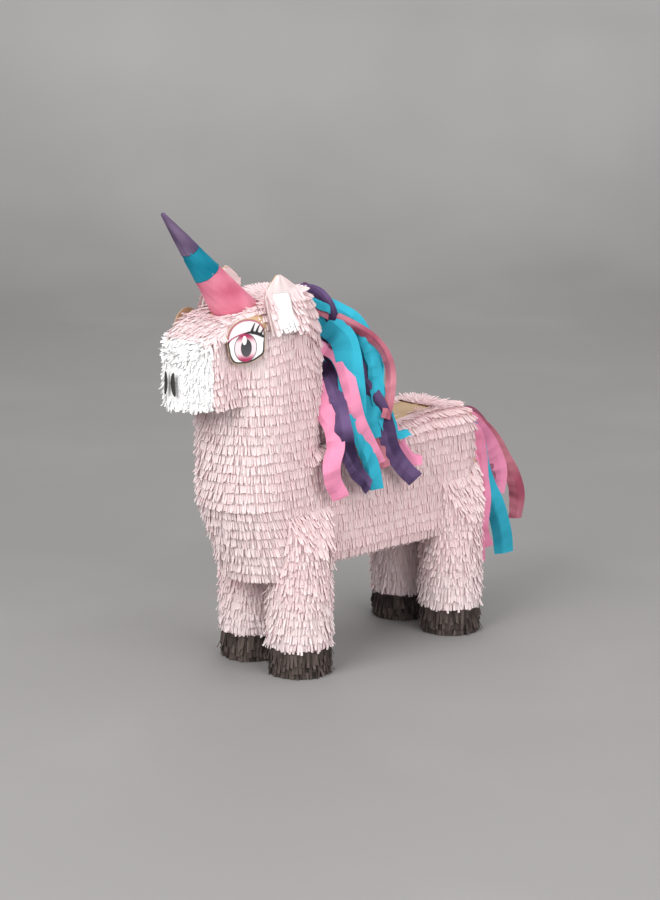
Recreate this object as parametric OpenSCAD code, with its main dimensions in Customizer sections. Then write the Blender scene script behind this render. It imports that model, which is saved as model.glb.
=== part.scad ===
// Standing unicorn pinata: a hollow card shell on four rolled legs, a tissue fringe glued over
// it in skins, a card horn and ears, and ribbons of tissue for the mane and the tail.
// The front faces -Y, the animal's left side is +X, and the hooves rest on Z = 0.

/* [Stance] */
// Distance from the front leg centres to the hind leg centres
leg_span = 240; // [225:1:250]
// Distance between the left and right leg centres
leg_gauge = 84; // [80:1:90]
// Y of the front leg centres
front_leg_y = -124; // [-128:1:-120]
// Outer radius of a rolled card leg
leg_r = 33.5; // [31:0.5:35]
// Height of the tissue hoof
hoof_h = 30; // [24:1:34]

/* [Neck and chest] */
// Radius of the two round ends of the neck's oval
neck_r = 56.5; // [54:0.5:58]
// Straight stretch between the neck's two round ends
neck_flat = 26; // [20:1:32]
// Height of the underside of the chest
chest_z = 115.5; // [110:0.5:120]
// Height of the top of the head
head_z = 429.5; // [424:0.5:436]
// Height below which the chest tucks under
tuck_z = 201; // [192:1:210]
// Angle of the tuck from upright, in degrees
tuck_angle = 19.7; // [15:0.1:21]
// Seam between the chest bowl and the neck tube
bowl_seam_z = 150; // [140:1:165]
// Seam between the neck tube and the crown cap
crown_seam_z = 392; // [385:1:396]

/* [Snout] */
// Half the width of the snout
snout_r = 38.5; // [36:0.5:40]
// Distance from the front leg centres forward to the centre of the snout's round front
snout_ahead = 101; // [98:1:104]
// Height of the chin
chin_z = 321; // [316:1:326]
// Distance from the front leg centres forward to where the white muzzle starts
muzzle_ahead = 118; // [114:1:122]

/* [Barrel] */
// Half the width of the barrel
barrel_half_w = 54.5; // [50:0.5:56]
// Height of the belly
belly_z = 125.5; // [120:0.5:130]
// Height of the back over the hips
back_z = 269.5; // [262:0.5:272]
// Distance from the hind leg centres back to the rump's rear face
rump_behind = 41.5; // [38:0.5:45]
// Card thickness of the shell
card_t = 3; // [2.5:0.1:3.5]
// Card thickness of the rolled legs
leg_t = 2.5; // [2:0.1:3]
// How far the tissue fringe stands off the card
fringe_t = 3.5; // [2.5:0.1:4]

/* [Fill door] */
// Length of the fill door along the back
door_len = 80; // [60:1:84]
// Width of the fill door
door_w = 58; // [44:1:60]
// Distance from the hind leg centres forward to the door's fold
door_fold_ahead = 16; // [14:1:22]
// Cut gap round the door
door_gap = 0.8; // [0.5:0.1:1.2]

/* [Horn] */
// Length of the horn along its axis
horn_len = 147; // [130:1:150]
// Radius of the horn's card cone at the base
horn_r = 23; // [20:0.5:25]
// Forward lean of the horn from upright, in degrees
horn_lean = 40.6; // [34:0.1:44]
// Thickness of the horn's tissue wrap
wrap_t = 0.7; // [0.5:0.1:1]

/* [Ears and eyes] */
// Width of an ear
ear_w = 50; // [44:1:54]
// Height of an ear card
ear_h = 64; // [56:1:68]
// Inward lean of an ear, in degrees
ear_lean = 17.5; // [14:0.5:20]
// Width of a printed eye
eye_w = 45; // [40:1:46]
// Height of a printed eye
eye_h = 48; // [42:1:50]

/* [Ribbons] */
// Width of a mane or tail ribbon
ribbon_w = 18; // [14:1:20]
// Distance from the middle plane to the hanging mane ribbons
hang_x = 74; // [72:1:78]
// Longest reach of a mane ribbon behind the neck
mane_reach = 130; // [120:1:132]
// Longest reach of a tail ribbon behind the rump
tail_reach = 116; // [100:1:118]

/* [Hidden] */
$fn = 96;

hind_leg_y = front_leg_y + leg_span;
neck_y = front_leg_y - 22;
neck_front_c = neck_y - neck_flat / 2;
neck_back_c = neck_y + neck_flat / 2;
snout_c = front_leg_y - snout_ahead;
muzzle_y = front_leg_y - muzzle_ahead;
rump_y = hind_leg_y + rump_behind;
skin_gap = 0.15;
seam_skin_z = chin_z - fringe_t;
hip_y = hind_leg_y + 2;
sole_t = 3;
big = 400;
tuck_ledge = 4;

// Head profile: the crown is level behind the horn and slopes forward to the forehead
nape_y = neck_back_c + neck_r - 35;
crown_round_a = 22;
crown_round_front = 34;
crown_round_back = 64;
brow_y = front_leg_y - 26;
brow_z = head_z - 5;
forehead_y = front_leg_y - 95;
forehead_z = head_z - 23;
crown_slope = atan((brow_z - forehead_z) / (brow_y - forehead_y));

// The fold of the fill door
fold_y = hind_leg_y - door_fold_ahead;
fold_z = back_z - 0.1;

// Horn base centre and its direction
horn_y = front_leg_y - 57;
horn_z = 415;
horn_bands = [0, 0.39, 0.63, 1];
cone_tip_r = 1.2;

// Legs: their centres, how high they reach up the body, and the slope cut on their outer side
left_x = leg_gauge / 2;
right_x = -leg_gauge / 2;
leg_top_z = 218;
cope_z = 148;
cope_angle = 64;
cap_t = 1.5;

// Barrel: half the width of the back and belly panels, the height they part at, and the corner radii
panel_half = 38;
mid_z = 200;
plan_corner = 34;
shoulder_r = 24;
belly_r = 14;

// Gaps: between neighbouring tissue skins, and round whatever stands through a skin
seam_gap = 0.3;
skin_clear = 0.1;
pierce_gap = 0.4;

// Horn: where its foot starts and the card ends as shares of its length, and its card's thickness
horn_foot = -0.12;
horn_card_end = 0.96;
horn_card_t = 1.4;
horn_tip_h = 2;
horn_tip_r = 0.8;
wrap_clear = 0.05;

// Ears
ear_y = front_leg_y - 30;
ear_x = 63;
ear_foot_z = 394;
ear_card_t = 1.4;
ear_paper_t = 0.6;
ear_paper_rim = 0.8;
ear_slot_rim = 1.1;
ear_t = ear_card_t + 2 * ear_paper_t;
lining_w = ear_w * 0.56;
lining_h = 34;
lining_foot = 10;
lining_shift = -6;
lining_t = 0.6;
lining_stand = lining_t / 2 + wrap_clear;

// Eyes
eye_x = 51.5;
eye_y = front_leg_y - 83.5;
eye_z = 389.5;
eye_turn = 15.6;
eye_t = 0.8;
eye_round = eye_h * 1.22;
eye_round_shift = eye_h * 0.14;

// Nostrils
nostril_x = 7;
nostril_z = 344;
nostril_t = 0.7;
nostril_arc_r = 30.6;
nostril_arc_shift = 28;

// Strips that the mane and the tail are glued to
strip_t = 1.2;
strip_w = 22;
strip_gap = 0.2;
mane_strip_z = [352, 430];
tail_tab_z = [226, 256];
ribbon_t = 1;
ribbon_root = 30;

// Mane ribbons: [height of the root, share of the longest reach, side, height of the end]
mane_ribbons = [
    [419, 1.00, 1, 206], [409.5, 0.94, 1, 214], [400, 0.885, 1, 200], [390.5, 0.83, 1, 222],
    [381, 0.77, 1, 198], [371.5, 0.71, 1, 212], [362, 0.65, 1, 230],
    [414.5, 1.00, -1, 215], [404.5, 0.91, -1, 228], [395, 0.82, -1, 204],
    [376, 0.73, -1, 236], [366.5, 0.66, -1, 220]
];
mane_root_y = neck_back_c + neck_r - 2;
mane_arch = 96;

// Tail ribbons: [height of the root, share of the longest reach, swing, arch, height of the end]
tail_ribbons = [
    [252, 1.00, 8, 92, 84], [246.5, 0.83, -16, 84, 62], [241, 0.68, 22, 74, 52],
    [236, 0.53, -6, 62, 70], [231.5, 0.38, 14, 48, 60], [227.5, 0.24, -12, 36, 78]
];

// Colours
kraft = [0.72, 0.56, 0.39];
blush = [0.96, 0.78, 0.80];
rose = [0.90, 0.47, 0.60];
snow = [0.95, 0.94, 0.94];
coal = [0.13, 0.12, 0.13];
teal = [0.05, 0.52, 0.64];
plum = [0.40, 0.27, 0.49];

// ---- outlines ----

// Points on a quarter ellipse from the top (90) to the side (0)
function quarter(cy, cz, a, b, n) = [for (i = [0:n]) [cy + a * sin(90 * i / n), cz + b * cos(90 * i / n)]];

// Side profile of the neck: a level crown behind the horn that slopes forward; g grows it
function neck_profile(g) = [
    [-60, chest_z - g], [-big, chest_z - g], [-big, forehead_z + g], [forehead_y, forehead_z + g],
    [brow_y, brow_z + g], [nape_y, head_z + g], [-60, head_z + g]
];

// One side of a domed top, from the crest down an ellipse a by b and out past the wall `half`
function dome_side(half, a, b, top) = concat(
    quarter(half - a, top - b, a + 0.1, b, 8),
    [[half + 60, top - b - 30], [half + 60, -big]]
);

// Left to right mirror of a list of points, in reverse order
function mirrored(points) = [for (i = [len(points) - 1:-1:0]) [-points[i][0], points[i][1]]];

// Side profile of the snout: the nose bridge falls from the forehead to the muzzle
function snout_profile(g) = [
    [-170, chin_z - g], [-big, chin_z - g], [-big, 360 + g], [snout_c - snout_r, 374 + g],
    [snout_c - 32, 380.5 + g], [snout_c - 21, 389.5 + g], [snout_c - 7, 398.5 + g],
    [forehead_y, forehead_z + g], [-170, forehead_z + 12 + g]
];

// Side profile of the barrel: a low saddle behind the neck, then the hips and a round rump
function barrel_profile(g) = [
    [-120, belly_z - g], [rump_y - 8 + g, belly_z - g], [rump_y + g, belly_z + 8], [rump_y + g, back_z - 41],
    [rump_y - 4.5 + g, back_z - 21.5 + g], [rump_y - 16.5 + g, back_z - 8 + g],
    [rump_y - 36, back_z - 1 + g], [hind_leg_y - 14, back_z + g], [hind_leg_y - 50, back_z - 0.5 + g],
    [hind_leg_y - 84, back_z - 4.5 + g], [hind_leg_y - 120, back_z - 9.5 + g],
    [front_leg_y + 60, back_z - 13.5 + g], [-120, back_z - 13.5 + g]
];

// ---- blocks: the solid shapes that the shells and skins are cut from ----

module side_slab(points) {
    rotate([90, 0, 90])
        linear_extrude(height = 2 * big, center = true)
            polygon(points);
}

module neck_plan(g) {
    translate([0, neck_front_c])
        circle(r = neck_r + g);
    translate([0, neck_back_c])
        circle(r = neck_r + g);
    translate([-neck_r - g, neck_front_c])
        square([2 * (neck_r + g), neck_flat]);
}

// A domed tunnel over the head that follows the slope in front
module crown_tunnel(g) {
    side = dome_side(neck_r + g, crown_round_a + g, crown_round_front + g, 0);
    translate([0, brow_y, brow_z + g])
        rotate([90 + crown_slope, 0, 0])
            linear_extrude(height = 2 * big, center = true)
                polygon(concat(side, mirrored(side)));
}

// The round back of the head, with everything in front of it let through
module nape_limit(g) {
    side = dome_side(neck_r + g, crown_round_a + g, crown_round_back + g, head_z + g);
    translate([0, neck_back_c, 0])
        rotate_extrude()
            polygon(concat([[0, head_z + g]], side, [[0, -big]]));
    beyond_y(neck_back_c, -1);
}

// The space below the tuck that the chest leaves free: what lies in front of a leaned cylinder
module tuck_space(g) {
    wide = neck_r + g + 0.3;
    pivot_y = neck_front_c - neck_r - g;
    difference() {
        translate([-big, -big, 0])
            cube([2 * big, big + neck_back_c, tuck_z]);
        translate([0, pivot_y, tuck_z + tuck_ledge])
            rotate([tuck_angle, 0, 0])
                linear_extrude(height = 2 * big, center = true) {
                    translate([0, wide])
                        circle(r = wide);
                    translate([-wide - 20, wide])
                        square([2 * wide + 40, big]);
                }
    }
}

module neck_block(g) {
    difference() {
        intersection() {
            linear_extrude(height = 2 * big)
                neck_plan(g);
            side_slab(neck_profile(g));
            crown_tunnel(g);
            nape_limit(g);
        }
        tuck_space(g);
    }
}

module snout_plan(g) {
    translate([0, snout_c])
        circle(r = snout_r + g);
    translate([-snout_r - g, snout_c])
        square([2 * (snout_r + g), neck_front_c - snout_c]);
}

module snout_block(g) {
    intersection() {
        linear_extrude(height = 2 * big)
            snout_plan(g);
        side_slab(snout_profile(g));
    }
}

module barrel_plan(g) {
    corner = plan_corner + g;
    half = barrel_half_w + g;
    translate([-half, neck_back_c])
        square([2 * half, rump_y + g - corner - neck_back_c]);
    translate([-half + corner, neck_back_c])
        square([2 * (half - corner), rump_y + g - neck_back_c]);
    for (s = [-1, 1])
        translate([s * (half - corner), rump_y + g - corner])
            circle(r = corner);
}

// Barrel cross-section: round shoulders on top and smaller rounds along the belly
module barrel_tunnel(g) {
    top = shoulder_r + g;
    low = belly_r + g;
    half = barrel_half_w + g;
    rotate([90, 0, 0])
        linear_extrude(height = 2 * big, center = true) {
            translate([-half, belly_z - g + low])
                square([2 * half, back_z - belly_z + 2 * g - top - low]);
            translate([top - half, back_z + g - top - 1])
                square([2 * (half - top), top + 1]);
            translate([low - half, belly_z - g])
                square([2 * (half - low), low + 1]);
            for (s = [-1, 1])
                translate([s * (half - top), back_z + g - top])
                    circle(r = top);
            for (s = [-1, 1])
                translate([s * (half - low), belly_z - g + low])
                    circle(r = low);
        }
}

module barrel_block(g) {
    intersection() {
        linear_extrude(height = 2 * big)
            barrel_plan(g);
        side_slab(barrel_profile(g));
        barrel_tunnel(g);
    }
}

// A slab of space: everything with lo < Z < hi
module level(lo, hi) {
    translate([-big, -big, lo])
        cube([2 * big, 2 * big, hi - lo]);
}

// Everything in front of (side = -1) or behind (side = 1) the plane Y = y
module beyond_y(y, side) {
    translate([-big, side > 0 ? y : y - 2 * big, -big])
        cube([2 * big, 2 * big, 3 * big]);
}

// ---- card shell ----

module neck_shell() {
    difference() {
        neck_block(0);
        neck_block(-card_t);
        snout_block(-card_t);
        barrel_block(-card_t);
    }
}

module neck_tube() {
    color(kraft)
        intersection() {
            neck_shell();
            level(bowl_seam_z, crown_seam_z);
        }
}

module crown_cap() {
    color(kraft)
        intersection() {
            neck_shell();
            level(crown_seam_z, head_z + 20);
        }
}

module chest_bowl() {
    color(kraft)
        intersection() {
            neck_shell();
            level(chest_z - 10, bowl_seam_z);
        }
}

module snout_shell() {
    difference() {
        snout_block(0);
        snout_block(-card_t);
        neck_block(0);
    }
}

// The band just under the snout's top profile
module bridge_zone() {
    difference() {
        level(chin_z + 20, head_z + 40);
        side_slab(concat(
            [[-170, 0], [-big, 0]],
            [for (i = [2:8]) snout_profile(-card_t)[i]]
        ));
    }
}

module snout_wrap() {
    color(kraft)
        difference() {
            snout_shell();
            bridge_zone();
            level(0, chin_z + card_t);
        }
}

module chin_plate() {
    color(kraft)
        intersection() {
            snout_shell();
            level(0, chin_z + card_t);
        }
}

module nose_bridge() {
    color(kraft)
        intersection() {
            snout_shell();
            bridge_zone();
        }
}

module barrel_shell() {
    difference() {
        barrel_block(0);
        barrel_block(-card_t);
        neck_block(0);
    }
}

module flank(side) {
    color(kraft)
        intersection() {
            barrel_shell();
            beyond_y(hip_y, -1);
            translate([side > 0 ? panel_half : -panel_half - big, -big, 0])
                cube([big, 2 * big, big]);
        }
}

module flank_left() {
    flank(1);
}

module flank_right() {
    flank(-1);
}

// The middle strip of the barrel between the two flanks
module middle_strip() {
    translate([-panel_half, -big, 0])
        cube([2 * panel_half, 2 * big, big]);
}

// The space of the fill door, grown by g on its three cut sides
module door_space(g) {
    translate([-door_w / 2 - g, fold_y - door_gap / 2 - door_len - g, mid_z])
        cube([door_w + 2 * g, door_len + g, 200]);
}

module back_panel() {
    color(kraft)
        difference() {
            intersection() {
                barrel_shell();
                beyond_y(hip_y, -1);
                middle_strip();
                level(mid_z, big);
            }
            door_space(door_gap);
            translate([-door_w / 2 - door_gap, fold_y - door_gap, mid_z])
                cube([door_w + 2 * door_gap, 1.5 * door_gap, 200]);
        }
}

module belly_panel() {
    color(kraft)
        intersection() {
            barrel_shell();
            beyond_y(hip_y, -1);
            middle_strip();
            level(0, mid_z);
        }
}

module rump_panel() {
    color(kraft)
        intersection() {
            barrel_shell();
            beyond_y(hip_y, 1);
        }
}

// ---- fill door ----

module fill_door() {
    color(kraft)
        intersection() {
            barrel_shell();
            door_space(0);
        }
}

module door_fringe() {
    color(blush)
        intersection() {
            difference() {
                barrel_block(fringe_t);
                barrel_block(skin_gap);
            }
            translate([-door_w / 2 - 1, fold_y - door_len - 1, mid_z])
                cube([door_w + 2, door_len - 5, 200]);
        }
}

// ---- legs ----

// Everything above the sloping cut at the top of a leg, on the animal's side `side`
module above_cope(side, lift) {
    translate([side * (leg_gauge / 2 + leg_r), 0, cope_z + lift])
        rotate([0, side * cope_angle, 0])
            translate([-big, -big, 0])
                cube([2 * big, 2 * big, big]);
}

module body_blocks(g) {
    neck_block(g);
    barrel_block(g);
}

// A rolled tube, coped to fit round the side of the body
module leg(x, y) {
    color(kraft)
        difference() {
            translate([x, y, sole_t])
                cylinder(r = leg_r, h = leg_top_z - sole_t);
            translate([x, y, 0])
                cylinder(r = leg_r - leg_t, h = 2 * leg_top_z);
            body_blocks(0);
            above_cope(sign(x), 0);
        }
}

module leg_cap(x, y) {
    color(kraft)
        intersection() {
            difference() {
                translate([x, y, chest_z + 20])
                    cylinder(r = leg_r, h = leg_top_z - chest_z);
                body_blocks(0);
                above_cope(sign(x), cap_t);
            }
            above_cope(sign(x), 0);
        }
}

module sole(x, y) {
    color(coal)
        translate([x, y, 0])
            cylinder(r = leg_r, h = sole_t);
}

module leg_fringe(x, y) {
    color(blush)
        difference() {
            translate([x, y, hoof_h + seam_gap])
                cylinder(r = leg_r + fringe_t, h = leg_top_z - hoof_h);
            translate([x, y, 0])
                cylinder(r = leg_r + skin_gap, h = 2 * leg_top_z);
            body_blocks(fringe_t + skin_clear);
            above_cope(sign(x), 0);
        }
}

module hoof_fringe(x, y) {
    color(coal)
        translate([x, y, 0.8])
            difference() {
                cylinder(r = leg_r + fringe_t, h = hoof_h - 0.8);
                translate([0, 0, -1])
                    cylinder(r = leg_r + skin_gap, h = hoof_h + 2);
            }
}

module leg_front_left() {
    leg(left_x, front_leg_y);
}

module leg_front_right() {
    leg(right_x, front_leg_y);
}

module leg_hind_left() {
    leg(left_x, hind_leg_y);
}

module leg_hind_right() {
    leg(right_x, hind_leg_y);
}

module leg_caps() {
    for (x = [left_x, right_x])
        for (y = [front_leg_y, hind_leg_y])
            leg_cap(x, y);
}

module sole_front_left() {
    sole(left_x, front_leg_y);
}

module sole_front_right() {
    sole(right_x, front_leg_y);
}

module sole_hind_left() {
    sole(left_x, hind_leg_y);
}

module sole_hind_right() {
    sole(right_x, hind_leg_y);
}

module leg_fringe_front_left() {
    leg_fringe(left_x, front_leg_y);
}

module leg_fringe_front_right() {
    leg_fringe(right_x, front_leg_y);
}

module leg_fringe_hind_left() {
    leg_fringe(left_x, hind_leg_y);
}

module leg_fringe_hind_right() {
    leg_fringe(right_x, hind_leg_y);
}

module hoof_fringe_front_left() {
    hoof_fringe(left_x, front_leg_y);
}

module hoof_fringe_front_right() {
    hoof_fringe(right_x, front_leg_y);
}

module hoof_fringe_hind_left() {
    hoof_fringe(left_x, hind_leg_y);
}

module hoof_fringe_hind_right() {
    hoof_fringe(right_x, hind_leg_y);
}

// ---- tissue skins on the body ----

module neck_skin() {
    difference() {
        neck_block(fringe_t);
        neck_block(skin_gap);
        barrel_block(skin_gap);
        snout_block(skin_gap);
    }
}

// The space that a coped leg fills beside the body
module leg_space(x, y) {
    difference() {
        translate([x, y, 0])
            cylinder(r = leg_r + fringe_t + skin_clear, h = leg_top_z);
        above_cope(sign(x), cap_t + skin_clear);
    }
}

module neck_fringe() {
    color(blush)
        difference() {
            intersection() {
                neck_skin();
                level(0, seam_skin_z);
            }
            for (x = [left_x, right_x])
                leg_space(x, front_leg_y);
        }
}

module snout_skin() {
    difference() {
        snout_block(fringe_t);
        snout_block(skin_gap);
        neck_block(fringe_t);
    }
}

module head_fringe() {
    color(blush)
        difference() {
            union() {
                intersection() {
                    neck_skin();
                    level(seam_skin_z + seam_gap, head_z + 30);
                }
                difference() {
                    snout_skin();
                    beyond_y(muzzle_y, -1);
                }
            }
            horn_at_base()
                cylinder(r = cone_r(horn_foot) + wrap_t + pierce_gap, h = 2 * horn_r, center = true);
            for (side = [-1, 1])
                ear_place(side)
                    linear_extrude(height = ear_t + seam_gap, center = true)
                        ear_outline(ear_slot_rim);
        }
}

module muzzle_fringe() {
    color(snow)
        intersection() {
            snout_skin();
            beyond_y(muzzle_y - seam_gap, -1);
        }
}

module barrel_skin() {
    difference() {
        barrel_block(fringe_t);
        barrel_block(skin_gap);
        neck_block(fringe_t + skin_clear);
        for (x = [left_x, right_x])
            for (y = [front_leg_y, hind_leg_y])
                leg_space(x, y);
    }
}

module barrel_fringe() {
    color(blush)
        difference() {
            intersection() {
                barrel_skin();
                beyond_y(hip_y - seam_gap, -1);
            }
            translate([-door_w / 2 - 2, fold_y - door_len - 2, mid_z])
                cube([door_w + 4, door_len + 8, 200]);
        }
}

module rump_fringe() {
    color(blush)
        intersection() {
            barrel_skin();
            beyond_y(hip_y, 1);
        }
}

// ---- horn ----

module horn_at_base() {
    translate([0, horn_y, horn_z])
        rotate([horn_lean, 0, 0])
            children();
}

function cone_r(f) = horn_r + (cone_tip_r - horn_r) * f;

// A cone wall between two stations given as fractions of the horn's length
module cone_wall(f0, f1, out, wall) {
    z0 = f0 * horn_len;
    z1 = f1 * horn_len;
    translate([0, 0, z0])
        difference() {
            cylinder(r1 = cone_r(f0) + out, r2 = cone_r(f1) + out, h = z1 - z0);
            translate([0, 0, -0.01])
                cylinder(r1 = cone_r(f0) + out - wall, r2 = cone_r(f1) + out - wall, h = z1 - z0 + 0.02);
        }
}

// The horn's root stands on the crown
module cut_to_crown() {
    difference() {
        horn_at_base()
            children();
        neck_block(skin_clear);
        snout_block(skin_clear);
    }
}

module horn_cone() {
    color(kraft)
        cut_to_crown()
            cone_wall(horn_foot, horn_card_end, 0, horn_card_t);
}

module horn_wrap_pink() {
    color(rose)
        cut_to_crown()
            cone_wall(horn_foot, horn_bands[1], wrap_t, wrap_t - wrap_clear);
}

module horn_wrap_teal() {
    color(teal)
        cut_to_crown()
            cone_wall(horn_bands[1], horn_bands[2], wrap_t, wrap_t - wrap_clear);
}

// The purple wrap closes over the tip
module horn_wrap_purple() {
    color(plum)
        horn_at_base() {
            cone_wall(horn_bands[2], horn_bands[3], wrap_t, wrap_t - wrap_clear);
            translate([0, 0, horn_len])
                cylinder(r1 = cone_r(1) + wrap_t, r2 = horn_tip_r, h = horn_tip_h);
        }
}

// ---- ears, eyes and nostrils ----

// Petal outline: u runs fore and aft, v runs up
module ear_outline(g) {
    polygon([
        [-ear_w / 2 - g, -g], [ear_w / 2 + g, -g], [ear_w / 2 + g, 0.62 * ear_h],
        [ear_w / 2 - 8 + g, 0.82 * ear_h + g], [2, ear_h + g], [-4, ear_h + g],
        [-ear_w / 2 + 9 - g, 0.84 * ear_h + g], [-ear_w / 2 - g, 0.64 * ear_h]
    ]);
}

// Puts a flat outline on the head's side, facing outward
module ear_place(side) {
    translate([side * ear_x, ear_y, ear_foot_z])
        rotate([0, -side * ear_lean, 0])
            rotate([90, 0, 90])
                children();
}

module ear_card(side) {
    color(kraft)
        ear_place(side)
            linear_extrude(height = ear_card_t, center = true)
                ear_outline(0);
}

module ear_paper(side) {
    color(blush)
        ear_place(side)
            difference() {
                linear_extrude(height = ear_t, center = true)
                    ear_outline(ear_paper_rim);
                linear_extrude(height = ear_card_t + 0.1, center = true)
                    ear_outline(0.05);
            }
}

module ear_lining(side) {
    color(snow)
        ear_place(side)
            translate([lining_shift - lining_w / 2, lining_foot, side * (ear_t / 2 + lining_stand)])
                linear_extrude(height = lining_t, center = true)
                    square([lining_w, lining_h]);
}

module ear_card_left() {
    ear_card(1);
}

module ear_card_right() {
    ear_card(-1);
}

module ear_paper_left() {
    ear_paper(1);
}

module ear_paper_right() {
    ear_paper(-1);
}

module ear_lining_left() {
    ear_lining(1);
}

module ear_lining_right() {
    ear_lining(-1);
}

// A flat printed card with round ends, bridging the cheek and the neck
module eye(side) {
    color(snow)
        translate([side * eye_x, eye_y, eye_z])
            rotate([0, 0, -side * eye_turn])
                rotate([90, 0, 90])
                    linear_extrude(height = eye_t, center = true)
                        intersection() {
                            translate([0, eye_round_shift])
                                circle(d = eye_round);
                            translate([0, -eye_round_shift])
                                circle(d = eye_round);
                            square([eye_w, eye_h], center = true);
                        }
}

module eye_left() {
    eye(1);
}

module eye_right() {
    eye(-1);
}

module nostrils() {
    color(coal)
        for (s = [-1, 1])
            intersection() {
                translate([0, snout_c, 0])
                    difference() {
                        cylinder(r = snout_r + fringe_t + skin_clear + nostril_t, h = big);
                        translate([0, 0, -1])
                            cylinder(r = snout_r + fringe_t + skin_clear, h = big + 2);
                    }
                translate([s * nostril_x, snout_c - snout_r - 3, nostril_z])
                    rotate([90, 0, 0])
                        linear_extrude(height = 20, center = true)
                            intersection() {
                                translate([nostril_arc_shift, 0])
                                    circle(r = nostril_arc_r);
                                translate([-nostril_arc_shift, 0])
                                    circle(r = nostril_arc_r);
                            }
            }
}

// ---- ribbons ----

module mane_strip() {
    color(blush)
        intersection() {
            difference() {
                neck_block(fringe_t + strip_gap + strip_t);
                neck_block(fringe_t + strip_gap);
            }
            translate([-strip_w / 2, nape_y, mane_strip_z[0]])
                cube([strip_w, 100, mane_strip_z[1] - mane_strip_z[0]]);
        }
}

module tail_tab() {
    color(blush)
        intersection() {
            difference() {
                barrel_block(fringe_t + strip_gap + strip_t);
                barrel_block(fringe_t + strip_gap);
            }
            translate([-strip_w / 2, rump_y - 12, tail_tab_z[0]])
                cube([strip_w, 60, tail_tab_z[1] - tail_tab_z[0]]);
        }
}

// Band outline in its own plane: an arch that ends upright, then a straight drop
module ribbon_outline(reach, arch, drop, t) {
    n = 12;
    top = quarter(0, -arch, reach + t / 2, arch + t / 2, n);
    low = quarter(0, -arch, reach - t / 2, arch - t / 2, n);
    polygon(concat(
        top,
        [[reach + t / 2, -arch - drop], [reach - t / 2, -arch - drop]],
        [for (i = [n:-1:0]) low[i]],
        [[-ribbon_root, -t / 2], [-ribbon_root, t / 2]]
    ));
}

// Ribbon from the root height z, swung by `swing` degrees from +Y towards +X, ending at end_z
module ribbon(y, z, swing, reach, arch, end_z) {
    translate([0, y, z])
        rotate([0, 0, -swing])
            rotate([90, 0, 90])
                linear_extrude(height = ribbon_w, center = true)
                    ribbon_outline(reach, arch, z - arch - end_z, ribbon_t);
}

module mane(colour, first) {
    color(colour)
        for (i = [first:3:len(mane_ribbons) - 1]) {
            r = mane_ribbons[i];
            reach = mane_reach * r[1];
            difference() {
                ribbon(mane_root_y, r[0], r[2] * asin(hang_x / reach), reach, mane_arch, r[3]);
                neck_block(fringe_t + strip_t + pierce_gap);
            }
        }
}

module mane_teal() {
    mane(teal, 0);
}

module mane_purple() {
    mane(plum, 1);
}

module mane_pink() {
    mane(rose, 2);
}

module tail(colour, first) {
    color(colour)
        for (i = [first:3:len(tail_ribbons) - 1]) {
            r = tail_ribbons[i];
            difference() {
                ribbon(rump_y + fringe_t, r[0], r[2], tail_reach * r[1], r[3], r[4]);
                barrel_block(fringe_t + strip_t + pierce_gap);
            }
        }
}

module tail_pink() {
    tail(blush, 0);
}

module tail_teal() {
    tail(teal, 1);
}

module tail_rose() {
    tail(rose, 2);
}

neck_tube();
crown_cap();
chest_bowl();
snout_wrap();
chin_plate();
nose_bridge();
flank_left();
flank_right();
back_panel();
belly_panel();
rump_panel();
fill_door();
door_fringe();
leg_front_left();
leg_front_right();
leg_hind_left();
leg_hind_right();
leg_caps();
sole_front_left();
sole_front_right();
sole_hind_left();
sole_hind_right();
neck_fringe();
head_fringe();
muzzle_fringe();
barrel_fringe();
rump_fringe();
leg_fringe_front_left();
leg_fringe_front_right();
leg_fringe_hind_left();
leg_fringe_hind_right();
hoof_fringe_front_left();
hoof_fringe_front_right();
hoof_fringe_hind_left();
hoof_fringe_hind_right();
horn_cone();
horn_wrap_pink();
horn_wrap_teal();
horn_wrap_purple();
ear_card_left();
ear_card_right();
ear_paper_left();
ear_paper_right();
ear_lining_left();
ear_lining_right();
eye_left();
eye_right();
nostrils();
mane_strip();
mane_teal();
mane_purple();
mane_pink();
tail_tab();
tail_teal();
tail_pink();
tail_rose();
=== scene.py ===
"""A standing unicorn pinata: tissue fringe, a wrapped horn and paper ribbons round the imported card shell.

Lengths are in metres. The animal faces -Y, its left side is +X, and its hooves stand on Z = 0.
"""
import logging
import math
from dataclasses import dataclass, field
from enum import Enum
from typing import Callable, Optional, Sequence, Union

import bpy
import numpy as np
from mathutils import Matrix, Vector


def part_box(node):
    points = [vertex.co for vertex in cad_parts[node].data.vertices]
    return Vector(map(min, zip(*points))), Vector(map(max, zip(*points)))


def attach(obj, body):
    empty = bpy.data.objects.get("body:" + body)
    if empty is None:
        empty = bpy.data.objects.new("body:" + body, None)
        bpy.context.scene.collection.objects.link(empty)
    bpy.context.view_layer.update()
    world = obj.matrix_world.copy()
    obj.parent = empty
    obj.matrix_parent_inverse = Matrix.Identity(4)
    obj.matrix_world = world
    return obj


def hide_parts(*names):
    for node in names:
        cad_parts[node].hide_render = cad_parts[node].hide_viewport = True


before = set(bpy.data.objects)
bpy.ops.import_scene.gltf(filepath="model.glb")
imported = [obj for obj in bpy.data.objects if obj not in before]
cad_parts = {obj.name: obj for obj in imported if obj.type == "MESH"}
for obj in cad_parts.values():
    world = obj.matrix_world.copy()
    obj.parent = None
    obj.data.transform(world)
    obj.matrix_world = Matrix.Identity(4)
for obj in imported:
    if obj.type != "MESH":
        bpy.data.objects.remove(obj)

Array = np.ndarray
Rng = np.random.Generator
Socket = bpy.types.NodeSocket
Piece = bpy.types.Object
MM = 0.001
log = logging.getLogger("pinata")
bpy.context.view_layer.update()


# ---- shader maths and finishes ----


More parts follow.
